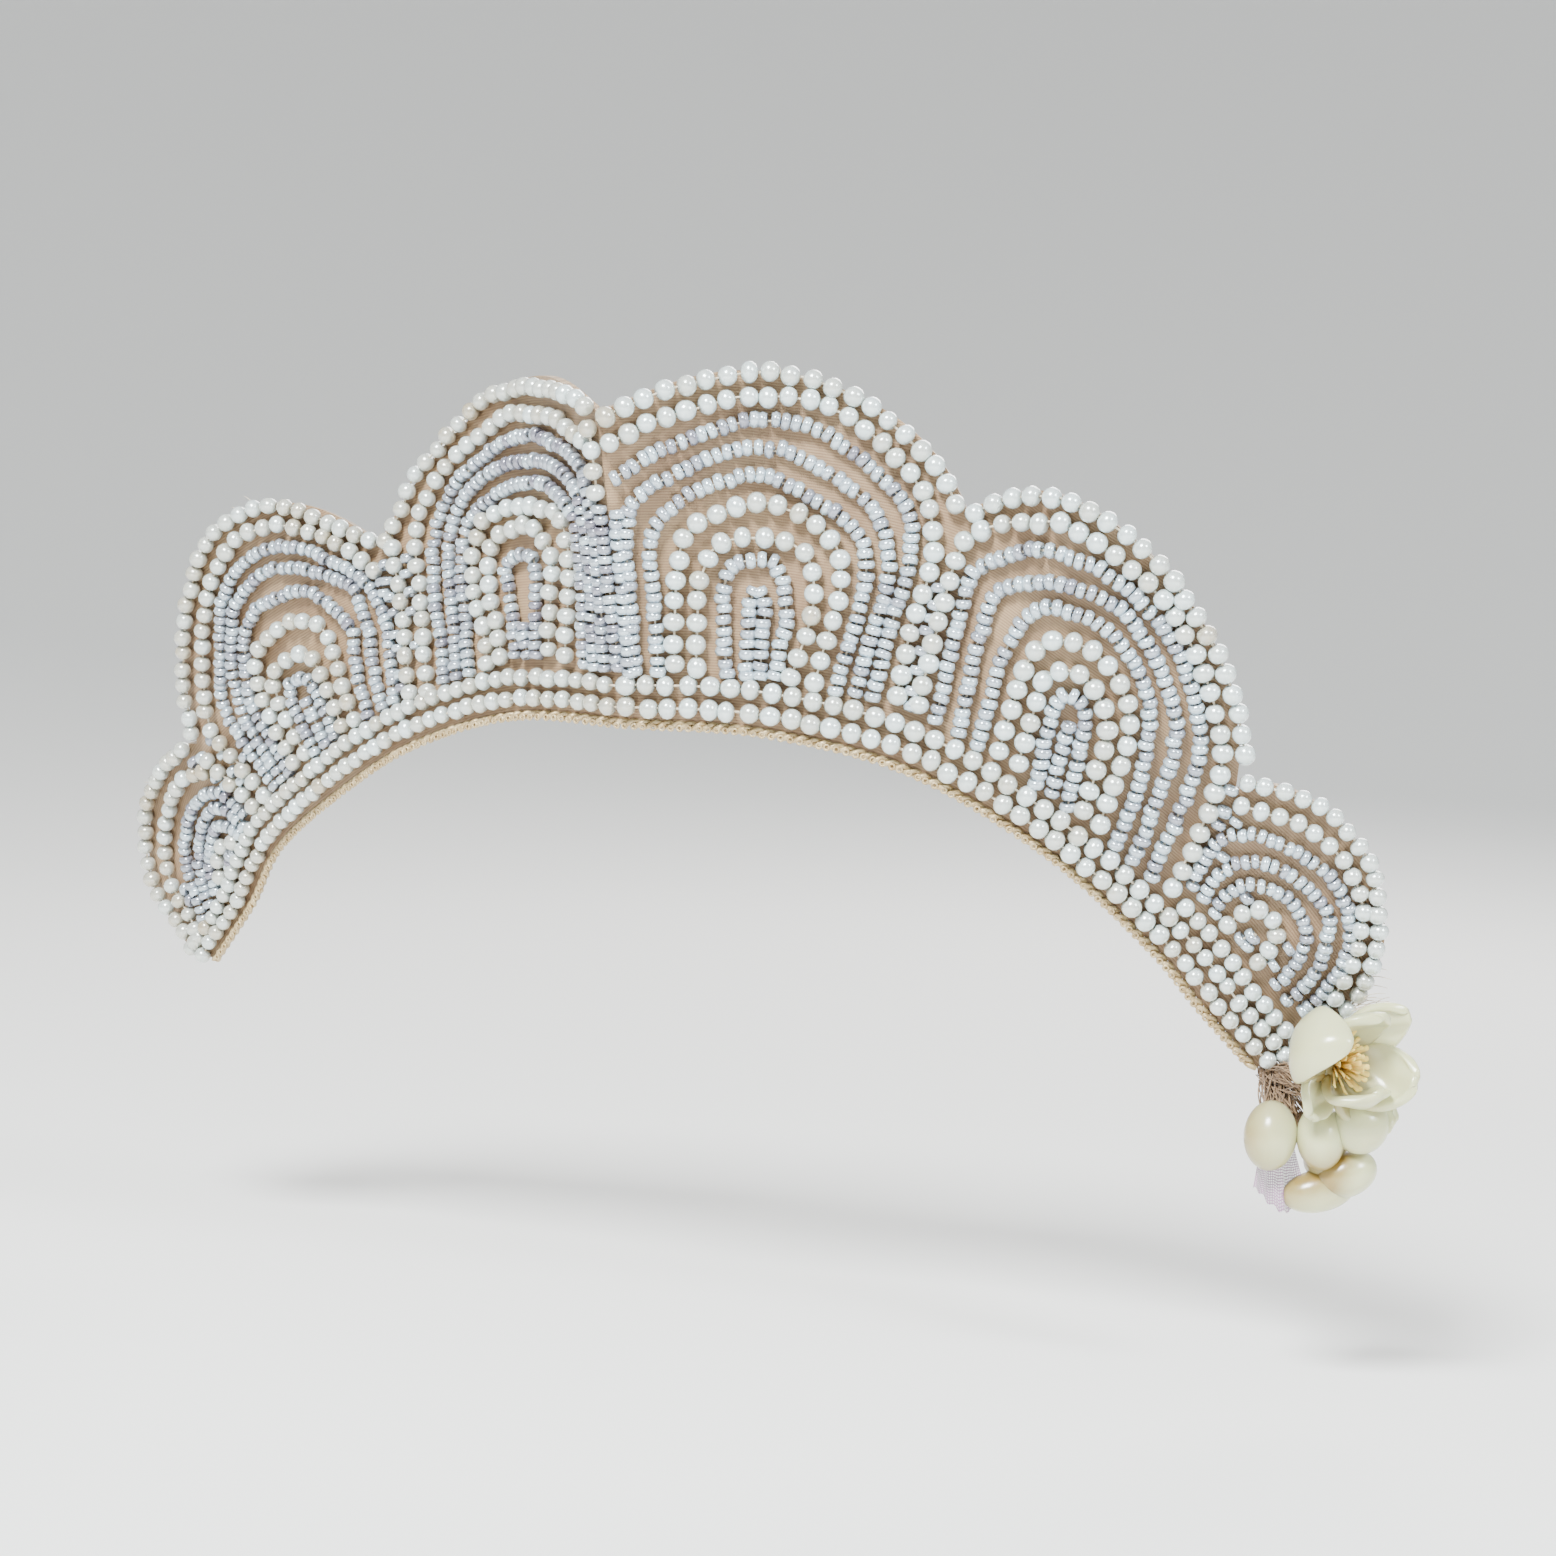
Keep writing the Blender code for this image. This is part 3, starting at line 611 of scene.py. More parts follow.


# %% [markdown]
# Each string is laid as the embroiderer lays it: down one side, round the
# arch and down the other. Points on each string were read from the
# photograph, spread flat along the band, and turned into stations and heights
# in millimetres. A chart runs from the outline of a scallop in to its middle.
# The two sides were not worked quite alike, so each has its own charts, from
# the crease out to the end.

# %% Chart of the strings
CHARTS = {1: [
    [
        ("big", [(0.02, 42.4), (0.28, 44.6), (0.41, 45.6), (0.67, 46.9), (0.91, 48.3), (1.14, 48.9),
            (1.32, 47.9), (1.49, 45.9), (1.65, 42.8), (1.82, 39.6), (1.94, 36.0)]),
        ("big", [(0.03, 38.7), (0.33, 41.6), (0.60, 43.0), (0.89, 45.1), (1.22, 45.8), (1.39, 44.4),
            (1.65, 39.2), (1.79, 35.3), (1.88, 28.9), (1.87, 23.3), (1.84, 16.9), (1.84, 9.6)]),
        ("small", [(0.05, 33.9), (0.31, 37.1), (0.73, 40.4), (0.92, 41.9), (1.19, 42.4), (1.35, 40.8),
            (1.62, 35.8), (1.73, 32.1), (1.76, 24.6), (1.74, 20.3), (1.72, 15.6), (1.70, 8.5)]),
        ("small", [(0.08, 8.1), (0.08, 17.4), (0.09, 26.4), (0.15, 30.5), (0.36, 33.4), (0.83, 37.6),
            (1.12, 38.5), (1.44, 34.6), (1.59, 31.0), (1.67, 23.9), (1.62, 13.1), (1.59, 8.5)]),
        ("small", [(0.25, 8.1), (0.25, 17.4), (0.26, 26.0), (0.51, 31.1), (0.78, 33.4), (1.03, 34.9),
            (1.40, 30.6), (1.54, 26.7), (1.55, 18.5), (1.51, 13.1), (1.47, 8.1)]),
        ("big", [(0.37, 9.1), (0.39, 13.9), (0.42, 20.1), (0.49, 26.0), (0.63, 28.0), (0.95, 30.9),
            (1.19, 30.3), (1.38, 27.1), (1.44, 22.1), (1.41, 16.2), (1.38, 13.0), (1.34, 8.6)]),
        ("big", [(0.53, 8.9), (0.56, 15.6), (0.57, 18.7), (0.69, 24.3), (0.88, 25.9), (1.15, 26.1),
            (1.27, 23.9), (1.30, 17.9), (1.25, 12.4), (1.19, 8.7)]),
        ("small", [(0.75, 8.1), (0.74, 13.9), (0.75, 19.0), (0.82, 22.0), (0.97, 23.1), (1.09, 22.6),
            (1.15, 16.7), (1.12, 12.4), (1.08, 8.5)]),
        ("small", [(0.89, 7.9), (0.91, 12.4), (0.92, 16.7), (0.97, 19.4), (1.02, 16.7), (1.00, 12.4),
            (0.98, 8.2)]),
        ("small", [(0.035, 29.0), (0.04, 18.0), (0.04, 7.9)]),
    ],
    [
        ("big", [(2.06, 35.9), (2.25, 39.1), (2.67, 44.0), (2.82, 45.4), (3.06, 46.0), (3.25, 45.5),
            (3.39, 44.1), (3.57, 40.8), (3.70, 38.1), (3.83, 34.0), (3.95, 29.7)]),
        ("big", [(1.98, 9.4), (1.99, 17.0), (2.00, 25.0), (2.02, 30.5), (2.12, 33.9), (2.44, 38.1),
            (2.68, 40.6), (2.85, 42.4), (3.20, 42.4), (3.36, 41.2), (3.56, 37.8), (3.68, 34.4), (3.84, 28.5),
            (3.90, 22.9), (3.92, 16.7), (3.92, 9.4)]),
        ("small", [(2.12, 8.6), (2.12, 18.9), (2.13, 27.4), (2.21, 29.9), (2.64, 36.5), (2.86, 38.5),
            (3.16, 39.6), (3.44, 37.1), (3.62, 32.4), (3.74, 26.7), (3.77, 21.0), (3.76, 12.8), (3.76, 8.4)]),
        ("small", [(2.30, 8.4), (2.29, 18.9), (2.34, 26.4), (2.45, 29.2), (2.69, 32.6), (2.88, 34.8),
            (3.18, 36.4), (3.36, 34.6), (3.58, 28.4), (3.63, 23.1), (3.63, 18.1), (3.61, 8.4)]),
        ("small", [(2.45, 8.4), (2.47, 13.9), (2.51, 20.4), (2.62, 26.4), (2.78, 30.3), (2.98, 32.1),
            (3.17, 32.8), (3.36, 30.3), (3.47, 25.7), (3.51, 17.4), (3.50, 11.7), (3.48, 8.4)]),
        ("big", [(2.60, 9.4), (2.65, 15.1), (2.69, 20.5), (2.80, 25.6), (3.00, 28.6), (3.19, 28.7),
            (3.36, 24.8), (3.39, 19.6), (3.37, 14.4), (3.35, 9.4)]),
        ("big", [(2.75, 9.5), (2.81, 16.7), (2.85, 21.4), (3.02, 24.9), (3.18, 24.2), (3.27, 20.2),
            (3.26, 14.2), (3.23, 9.4)]),
        ("small", [(2.90, 8.4), (2.92, 15.3), (2.97, 20.3), (3.05, 21.8), (3.14, 19.8), (3.14, 15.1),
            (3.13, 8.4)]),
        ("small", [(3.01, 8.6), (3.03, 13.0), (3.05, 17.5)]),
    ],
    [
        ("big", [(4.03, 26.9), (4.17, 28.6), (4.39, 30.9), (4.66, 30.9), (4.80, 29.5), (5.05, 25.8),
            (5.35, 21.0), (5.56, 17.9), (5.74, 14.6), (5.88, 11.2), (5.97, 8.2)]),
        ("big", [(4.06, 23.9), (4.22, 25.4), (4.39, 27.5), (4.66, 28.0), (4.86, 26.4), (5.05, 22.9),
            (5.28, 18.2), (5.48, 14.9), (5.66, 11.3), (5.76, 8.2)]),
        ("small", [(4.04, 8.9), (4.04, 17.3), (4.15, 20.6), (4.26, 22.4), (4.51, 24.5), (4.75, 25.0),
            (4.96, 22.9), (5.15, 19.2), (5.33, 15.0), (5.46, 11.3), (5.52, 8.0)]),
        ("small", [(4.17, 8.9), (4.17, 14.7), (4.28, 18.5), (4.40, 20.3), (4.60, 21.8), (4.81, 21.7),
            (4.99, 18.6), (5.15, 15.0), (5.25, 11.5), (5.30, 8.2)]),
        ("small", [(4.30, 8.9), (4.31, 14.2), (4.43, 17.2), (4.63, 18.8), (4.83, 18.0), (4.98, 14.7),
            (5.06, 11.5), (5.09, 8.2)]),
        ("big", [(4.44, 9.8), (4.48, 13.6), (4.62, 15.4), (4.78, 14.0), (4.84, 9.8)]),
        ("small", [(4.60, 8.9), (4.65, 12.2), (4.70, 8.9)]),
    ],
], -1: [
    [
        ("big", [(1.92, 29.4), (1.74, 33.9), (1.67, 36.7), (1.46, 40.1), (1.36, 41.5), (1.13, 44.5),
            (0.98, 45.2), (0.67, 45.6), (0.51, 45.3), (0.19, 44.9), (0.03, 43.7)]),
        ("big", [(1.93, 6.7), (1.91, 11.7), (1.89, 16.7), (1.88, 21.0), (1.88, 24.6), (1.87, 28.0)]),
        ("big", [(1.77, 6.0), (1.74, 13.1), (1.72, 17.4), (1.71, 21.7), (1.70, 28.1), (1.59, 33.1),
            (1.40, 37.2), (1.29, 38.6), (1.01, 41.2), (0.85, 42.1), (0.51, 41.5), (0.35, 41.1),
            (0.08, 39.0)]),
        ("small", [(1.61, 6.7), (1.60, 11.7), (1.60, 21.7), (1.53, 29.0), (1.35, 34.4), (1.04, 37.7),
            (0.88, 38.6), (0.54, 38.4), (0.16, 35.3), (0.09, 27.4), (0.08, 22.4), (0.11, 13.1), (0.13, 7.4)]),
        ("small", [(1.50, 6.7), (1.48, 11.7), (1.47, 21.7), (1.45, 26.0), (1.30, 31.9), (1.04, 34.6),
            (0.77, 35.2), (0.44, 34.7), (0.22, 31.4), (0.18, 27.4), (0.16, 22.4), (0.20, 12.4), (0.22, 7.4)]),
        ("small", [(1.38, 6.7), (1.38, 11.7), (1.37, 16.7), (1.37, 21.7), (1.27, 28.5), (1.01, 31.4),
            (0.87, 32.1), (0.54, 31.9), (0.30, 28.9), (0.26, 25.3), (0.26, 16.7), (0.29, 12.4), (0.32, 7.4)]),
        ("big", [(1.20, 7.4), (1.22, 11.7), (1.25, 15.6), (1.28, 22.1), (1.17, 27.4), (1.04, 28.6),
            (0.88, 28.9), (0.54, 28.6), (0.40, 27.3), (0.35, 21.4), (0.38, 18.1), (0.45, 11.7), (0.48, 8.5)]),
        ("big", [(1.07, 8.1), (1.11, 14.0), (1.14, 17.1), (1.13, 22.8), (1.05, 24.9), (0.89, 26.0),
            (0.69, 26.0), (0.52, 21.4), (0.55, 18.1), (0.61, 12.3), (0.63, 8.9)]),
        ("small", [(0.95, 8.1), (0.95, 13.1), (0.97, 16.0), (0.98, 21.1), (0.74, 21.7), (0.72, 17.1),
            (0.75, 11.4), (0.76, 8.1)]),
        ("small", [(0.85, 8.1), (0.86, 10.3), (0.87, 11.9)]),
        ("big", [(0.01, 40.9), (0.0, 38.0), (0.0, 35.0), (0.0, 32.0)]),
        ("small", [(0.0, 29.5), (0.0, 18.0), (0.0, 7.6)]),
    ],
    [
        ("big", [(3.91, 21.7), (3.75, 26.2), (3.69, 28.3), (3.52, 32.4), (3.36, 36.5), (3.28, 38.0),
            (3.11, 41.3), (2.92, 43.1), (2.68, 42.4), (2.53, 40.6), (2.32, 36.0), (2.22, 33.9),
            (2.04, 30.4)]),
        ("big", [(3.88, 6.7), (3.91, 10.3), (3.94, 13.9), (3.96, 17.1)]),
        ("big", [(3.71, 6.7), (3.74, 13.4), (3.75, 19.4), (3.68, 22.3), (3.52, 27.2), (3.36, 31.6),
            (3.20, 35.6), (3.03, 38.5), (2.84, 40.1), (2.58, 38.3), (2.37, 34.2), (2.19, 30.1),
            (2.04, 26.0)]),
        ("small", [(3.57, 6.7), (3.58, 14.6), (3.55, 21.0), (3.38, 26.4), (3.28, 29.4), (3.08, 34.7),
            (2.79, 36.6), (2.55, 34.4), (2.33, 29.6), (2.13, 24.6), (2.04, 18.1), (2.06, 13.9), (2.11, 6.7)]),
        ("small", [(3.47, 6.7), (3.47, 13.9), (3.46, 17.1), (3.34, 23.5), (3.24, 26.9), (3.05, 32.1),
            (2.77, 33.4), (2.62, 31.9), (2.35, 27.3), (2.24, 24.6), (2.20, 17.4), (2.23, 13.9), (2.25, 6.7)]),
        ("small", [(3.36, 6.7), (3.36, 10.3), (3.35, 17.1), (3.30, 20.3), (3.14, 26.6), (3.03, 28.5),
            (2.90, 29.5), (2.61, 28.1), (2.49, 25.4), (2.34, 19.9), (2.36, 16.7), (2.39, 13.1), (2.41, 6.7)]),
        ("big", [(3.27, 7.4), (3.27, 10.6), (3.23, 17.4), (3.17, 21.0), (3.09, 23.9), (2.85, 25.2),
            (2.62, 23.4), (2.54, 20.6), (2.52, 17.1), (2.55, 10.3), (2.55, 7.1)]),
        ("big", [(3.14, 7.4), (3.14, 10.6), (3.11, 17.1), (3.03, 19.9), (2.79, 20.3), (2.71, 18.1),
            (2.68, 11.4), (2.69, 7.4)]),
        ("small", [(3.04, 6.7), (3.04, 10.3), (3.00, 16.5), (2.83, 16.4), (2.79, 10.3), (2.80, 6.7)]),
        ("small", [(2.92, 6.7), (2.92, 10.3), (2.91, 13.5)]),
    ],
    [
        ("big", [(5.85, 4.5), (5.76, 8.1), (5.58, 14.1), (5.38, 18.8), (5.14, 21.8), (5.02, 23.0),
            (4.78, 24.5), (4.49, 23.7), (4.34, 23.1), (4.08, 21.5)]),
        ("big", [(5.69, 6.0), (5.55, 8.9), (5.32, 14.3), (5.10, 17.7), (4.87, 19.6), (4.75, 20.0),
            (4.52, 19.9), (4.29, 18.9), (4.07, 16.6)]),
        ("small", [(5.51, 6.0), (5.30, 8.9), (5.10, 12.5), (4.88, 15.0), (4.63, 15.8), (4.52, 15.8),
            (4.29, 14.8), (4.10, 12.5), (4.05, 7.2)]),
        ("small", [(5.29, 6.2), (5.08, 9.5), (4.86, 11.9), (4.72, 12.7), (4.42, 12.7), (4.20, 10.6),
            (4.16, 6.2)]),
        ("small", [(5.09, 6.2), (4.90, 9.1), (4.78, 10.0), (4.50, 10.5), (4.36, 9.8), (4.27, 6.2)]),
        ("big", [(4.91, 6.6), (4.82, 7.7), (4.53, 8.1), (4.42, 6.8)]),
        ("small", [(4.74, 5.8), (4.61, 6.2), (4.52, 5.8)]),
    ],
]}
print("strings charted:", {side: [len(chart) for chart in charts] for side, charts in CHARTS.items()})


# %% String helpers
def smooth_line(points, count):
    """A smooth line through the points, as count new ones evenly spaced along it."""
    points = np.asarray(points, float)
    line = np.array([smooth_row(points, s) for s in np.linspace(0, len(points) - 1, 12 * len(points))])
    run = run_along(line)
    stops = np.linspace(0.0, run[-1], count)
    return np.stack([np.interp(stops, run, line[:, i]) for i in range(line.shape[1])], axis=1)


def lay_string(stops, kind, size=1.0):
    """Spaces beads evenly on a run of (point, way out) stops. Gives (point, along, out) for each."""
    points = np.array([p for p, n in stops])
    outs = np.array([n for p, n in stops])
    run = run_along(points)
    count = max(int(round(run[-1] / (size * PITCH[kind]))) + 1, 2)
    laid = []
    for at in np.linspace(0.0, run[-1], count):
        here = np.array([np.interp(at, run, points[:, i]) for i in range(3)])
        ahead = np.array([np.interp(at + 0.5 * MM, run, points[:, i]) for i in range(3)])
        behind = np.array([np.interp(at - 0.5 * MM, run, points[:, i]) for i in range(3)])
        out = unit([np.interp(at, run, outs[:, i]) for i in range(3)])
        laid.append((here, unit(ahead - behind), out))
    return laid


def place_bead(kind, point, along, out, tone, size=1.0):
    tilt = 0.10 if kind == "big" else 0.16
    along = unit(along + tilt * np.array([chance.uniform(-1, 1) for _ in range(3)]))
    out = unit(out - along * float(out @ along))
    wide = size * chance.gauss(1.0, 0.03)
    y = np.cross(along, out) * wide * chance.gauss(1.0, 0.025)
    z = along * size * chance.gauss(1.0, 0.05)
    shift = 0.10 * MM * np.array([chance.gauss(0, 1) for _ in range(3)])
    bead = copy_of(MODELS[kind], point + shift, out * wide, y, z)
    bead.hide_render = False
    spread = 0.20 if kind == "big" else 0.30
    paint_tone(bead.data, min(max(tone + chance.gauss(0.0, spread), 0.0), 1.0))
    return bead


def add_tube(name, lines, radius, sides_more=1):
    """Round threads along lines of points, made as a curve and turned into a mesh."""
    curve = bpy.data.curves.new(name, "CURVE")
    curve.dimensions = "3D"
    curve.bevel_depth = radius
    curve.bevel_resolution = sides_more
    curve.use_fill_caps = True
    for line in lines:
        spline = curve.splines.new("POLY")
        spline.points.add(len(line) - 1)
        for point, place in zip(spline.points, line):
            point.co = (*place[:3], 1.0)
            point.radius = place[3] if len(place) > 3 else 1.0
    tube = bpy.data.objects.new(name, curve)
    bpy.context.scene.collection.objects.link(tube)
    only(tube)
    bpy.ops.object.convert(target="MESH")
    return bpy.context.object


# %% Bead tone with painted shade, and the last gaps
def bead_tone_with_shade(side, k, kind):
    """Tone of a bead, with painted shade: light on the wearer's left, a little less past station 4.6, and darker on
    the right, where the small beads are greyest in the fold of the crease and the large ones away from it are
    creamier, partly their own cream.
    """
    if side > 0:
        return 0.80 if k < 4.6 else 0.70
    if kind == "small":
        return 0.42 + 0.20 * min(k / 2.0, 1.0)
    return 0.66 if k < 1.2 else 0.50


FILLED_BY_EYE = {
    # stretches (from k, to k, from mm, to mm) of each side where no silk shows
    -1: [(0.0, 0.12, 7.6, 26.0), (1.5, 2.15, 7.6, 27.0), (2.4, 3.9, 7.6, 14.0),
         (3.7, 4.2, 7.6, 19.0), (4.0, 5.8, 6.8, 12.0)],
    1: [(1.55, 2.15, 7.7, 25.0), (3.55, 4.0, 7.7, 26.0), (4.0, 4.12, 9.7, 24.0), (4.1, 5.97, 9.7, 14.5)],
}


def gaps_left(side, index, filled):
    """Places where a seed bead still fits between the strings of a scallop."""
    centres = np.array([p for p, r in filled])
    reaches = np.array([r for p, r in filled])
    found = []
    for k0, k1, q0, q1 in FILLED_BY_EYE[side]:
        for k in np.arange(max(k0, 2 * index), min(k1, 2 * index + 2), 0.02):
            for q in np.arange(q0 + chance.uniform(0.0, 0.8), q1, 0.3):
                q_here = q * MM
                if q_here > top_height(side, k) - 2.0 * MM:
                    continue
                point = on_band(side, k, q_here, LIFT["small"])[0]
                if np.all(np.linalg.norm(centres - point, axis=1) > 0.92 * (reaches + 0.85 * REACH["small"])):
                    found.append((k, q_here))
                    centres = np.vstack([centres, point])
                    reaches = np.append(reaches, 0.85 * REACH["small"])
    return found


print("stretches filled by eye:", {side: len(rows) for side, rows in FILLED_BY_EYE.items()})


# %% Bead fields of the six scallops
# Millimetres of height that count as much as one station where the points of a string are spaced.
STATION_WEIGHT = 12.0
# In millimetres, on the wearer's left: the end scallop starts above the third lower string, and the
# other strings reach a little lower than charted wherever they are below this foot.
END_FOOT, CHARTED_FOOT, FOOT_DROP = 9.9, 10.0, 0.9
THREAD_RADIUS = 0.16 * MM


def bead_scallop(number, side, index):
    """Beads and threads of one scallop, as three pieces. Beads are largest in front on the wearer's left."""
    size = 0.92 if side < 0 else 0.90 if index == 2 else 1.0
    foot = END_FOOT if side > 0 and index == 2 else 0.0
    beads = {"big": [], "small": []}
    threads = []
    filled = []
    for kind, chart in CHARTS[side][index]:
        if side > 0 and index < 2:
            chart = [(k, q - FOOT_DROP if q < CHARTED_FOOT else q) for k, q in chart]
        line = smooth_line([(k, q / STATION_WEIGHT) for k, q in chart], 48)
        line = line[line[:, 1] * STATION_WEIGHT > foot]
        stops = [on_band(side, min(max(k, 0.0), 5.97), q * STATION_WEIGHT * MM, LIFT[kind]) for k, q in line]
        laid = lay_string(stops, kind, size)
        for i, (point, along, out) in enumerate(laid):
            k = float(np.interp(i / (len(laid) - 1), np.linspace(0, 1, len(line)), line[:, 0]))
            beads[kind].append(place_bead(kind, point, along, out, bead_tone_with_shade(side, k, kind), size))
            filled.append((point, size * REACH[kind]))
        threads.append([p - 0.1 * MM * n for p, n in stops[::2] + stops[-1:]])
    for k, q in gaps_left(side, index, filled):
        point, out = on_band(side, k, q, LIFT["small"])
        rise = foot_and_rise(side, k)[1]
        beads["small"].append(place_bead("small", point, rise, out, bead_tone_with_shade(side, k, "small"), size))
    made = [join_as("scallop_%d_%s_beads" % (number, kind), beads[kind]) for kind in ("big", "small")]
    thread = add_tube("scallop_%d_threads" % number, threads, THREAD_RADIUS, 0)
    thread.data.materials.append(string_finish)
    made.append(thread)
    for piece in made:
        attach(piece, "root")
        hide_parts("bead_field_%d" % number)
    print("scallop %d: %d large and %d small beads" % (number, len(beads["big"]), len(beads["small"])))
    return made


strung = []
for i, (side, index) in enumerate([(-1, 2), (-1, 1), (-1, 0), (1, 0), (1, 1), (1, 2)]):
    strung += bead_scallop(i + 1, side, index)


# %% [markdown]
# Two strings of large beads run the whole length of the band just above its
# lower edge and close the foot of every arch. Near the flowers a third string
# joins them and the beads are a little smaller. They are laid with the same
# helper, from the crease out to both ends.

# %% Lower strings
LOWER_RUNS = [
    # side, from k, to k, from mm, to mm, size of the beads, beads skipped where it joins another run
    (-1, 0.0, 5.95, 2.0, 1.8, 0.86, 1),
    (-1, 0.0, 5.95, 5.05, 4.4, 0.86, 1),
    (1, 0.0, 4.0, 2.1, 2.0, 1.0, 0),
    (1, 0.0, 4.0, 5.3, 4.9, 1.0, 0),
    (1, 4.0, 5.95, 2.0, 1.8, 0.88, 1),
    (1, 4.0, 5.95, 4.8, 4.4, 0.88, 1),
    (1, 4.08, 5.85, 7.5, 7.0, 0.88, 0),
]
lower_beads = []
lower_threads = []
for side, k0, k1, q0, q1, size, skipped in LOWER_RUNS:
    stations = np.linspace(k0, k1, 70)
    stops = [on_band(side, k, np.interp(k, (k0, k1), (q0, q1)) * MM, LIFT["big"]) for k in stations]
    for point, along, out in lay_string(stops, "big", size)[skipped:]:
        # Painted shade: the beads on the wearer's right get a darker tone than those on the left.
        lower_beads.append(place_bead("big", point, along, out, 0.78 if side > 0 else 0.60, size))
    lower_threads.append([p for p, n in stops])
lower_strings = join_as("lower_strings", lower_beads)
lower_thread = add_tube("lower_threads", lower_threads, THREAD_RADIUS, 0)
lower_thread.data.materials.append(string_finish)
for piece in (lower_strings, lower_thread):
    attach(piece, "root")
    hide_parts("lower_bead_rows")
strung += [lower_strings, lower_thread]
print("lower strings: %d beads" % len(lower_beads))


# %% [markdown]
# A thin gilt cord with tiny picots finishes the lower edge. It is two plies
# twisted together, so each ply is a helix round the same path. A twisted
# texture on a plain tube would be lighter, but the edge is seen from close by
# and the light catches each turn.

# %% Gilt cord
gilt = cloudy_finish("gilt_thread", 0.42, (0.60, 0.48, 0.28), (0.38, 0.26, 0.12), 1200.0, (0.00006, 0.6),
                     Metallic=0.35)
PLY_TURN, PLY_OFF = 3.2 * MM, 0.34 * MM
PICOT_PITCH = 1.30 * MM

cord_path = []
for s in np.linspace(-6.0, 6.0, 900):
    side, k = (-1 if s < 0 else 1), abs(s)
    point, out = on_band(side, k, -0.40 * MM, CLOTH * 0.75)
    cord_path.append((point, out, foot_and_rise(side, k)[1]))
cord_run = run_along([point for point, out, rise in cord_path])
plies = []
for start in (0.0, math.pi):
    ply = []
    for at, (point, out, rise) in zip(cord_run, cord_path):
        angle = start + 2 * math.pi * at / PLY_TURN
        ply.append(point + PLY_OFF * (math.cos(angle) * out + math.sin(angle) * rise))
    plies.append(ply)
gilt_cord = add_tube("gilt_cord", plies, 0.38 * MM, 1)


def model_picot():
    nothing_selected()
    bpy.ops.mesh.primitive_torus_add(major_segments=9, minor_segments=5,
                                     major_radius=0.38 * MM, minor_radius=0.17 * MM)
    return bpy.context.object


picot = model_picot()
picots = []
for at in np.arange(1.0 * MM, cord_run[-1] - 1.0 * MM, PICOT_PITCH):
    i = int(np.searchsorted(cord_run, at))
    point, out, rise = cord_path[i]
    along = unit(cord_path[min(i + 3, len(cord_path) - 1)][0] - cord_path[max(i - 3, 0)][0])
    place = point + 0.58 * MM * out - 0.30 * MM * rise
    picots.append(copy_of(picot, place, along, np.cross(out, along), out))
bpy.data.objects.remove(picot, do_unlink=True)
picot_edge = join_as("picot_edge", picots)
for piece in (gilt_cord, picot_edge):
    only(piece)
    bpy.ops.object.shade_smooth()
    piece.data.materials.append(gilt)
    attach(piece, "root")
    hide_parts("lower_edge_cord")
print("cord: %.0f mm, %d picots" % (cord_run[-1] / MM, len(picots)))


# %% [markdown]
# The flowers are dipped in bleached wax: thick petals with soft rims, milky
# where light enters them. Their tone holds painted shade: deep ochre at the
# roots, near the cores and in the hollows, lighter towards the tips, at the
# front and across to the right. The petals are shaped from the same measures
# as the solids. They could be sculpted, but a grid set on a curved path with a
# cup across it gives clean, even petals. Each gets a wall and one level of
# subdivision, which rounds its rim as dipping does.

# %% Wax finish
wax, wax_tree, wax_shader = new_finish("ivory_wax", 0.28, Subsurface_Weight=0.28, Subsurface_Scale=0.0012,
                                       Coat_Weight=0.8, Coat_Roughness=0.20, IOR=1.46)
wax_shader.inputs["Subsurface Radius"].default_value = (1.0, 0.72, 0.42)
# The Low end of the tone is the ochre of painted shade at roots and in hollows, the High end the ivory of the wax.
wax_tone = use_group(wax_tree, TONE, Low=(0.26, 0.15, 0.02, 1), High=(0.60, 0.60, 0.34, 1))
wax_clouds = use_group(wax_tree, CLOUDY, Scale=260.0)
wax_share = maths(wax_tree, "MULTIPLY", wax_clouds.outputs["Mask"], 0.22)
wax_colour = blend_colours(wax_tree, wax_share, wax_tone.outputs["Color"], (0.50, 0.56, 0.32, 1))
wax_tree.links.new(wax_colour, wax_shader.inputs["Base Color"])
add_bump(wax_tree, wax_shader, wax_clouds.outputs["Mask"], 0.00010, 0.35)


# %% Places of the spray
def spray_directions():
    turn, rise = math.radians(22.0), math.radians(14.0)
    out = np.array([math.sin(turn) * math.cos(rise), -math.cos(turn) * math.cos(rise), math.sin(rise)])
    across = np.array([math.cos(turn), math.sin(turn), 0.0])
    return across, np.cross(out, across), out


ACROSS, HIGH, OUT = spray_directions()


def spray(across, high, out):
    return across * ACROSS + high * HIGH + out * OUT


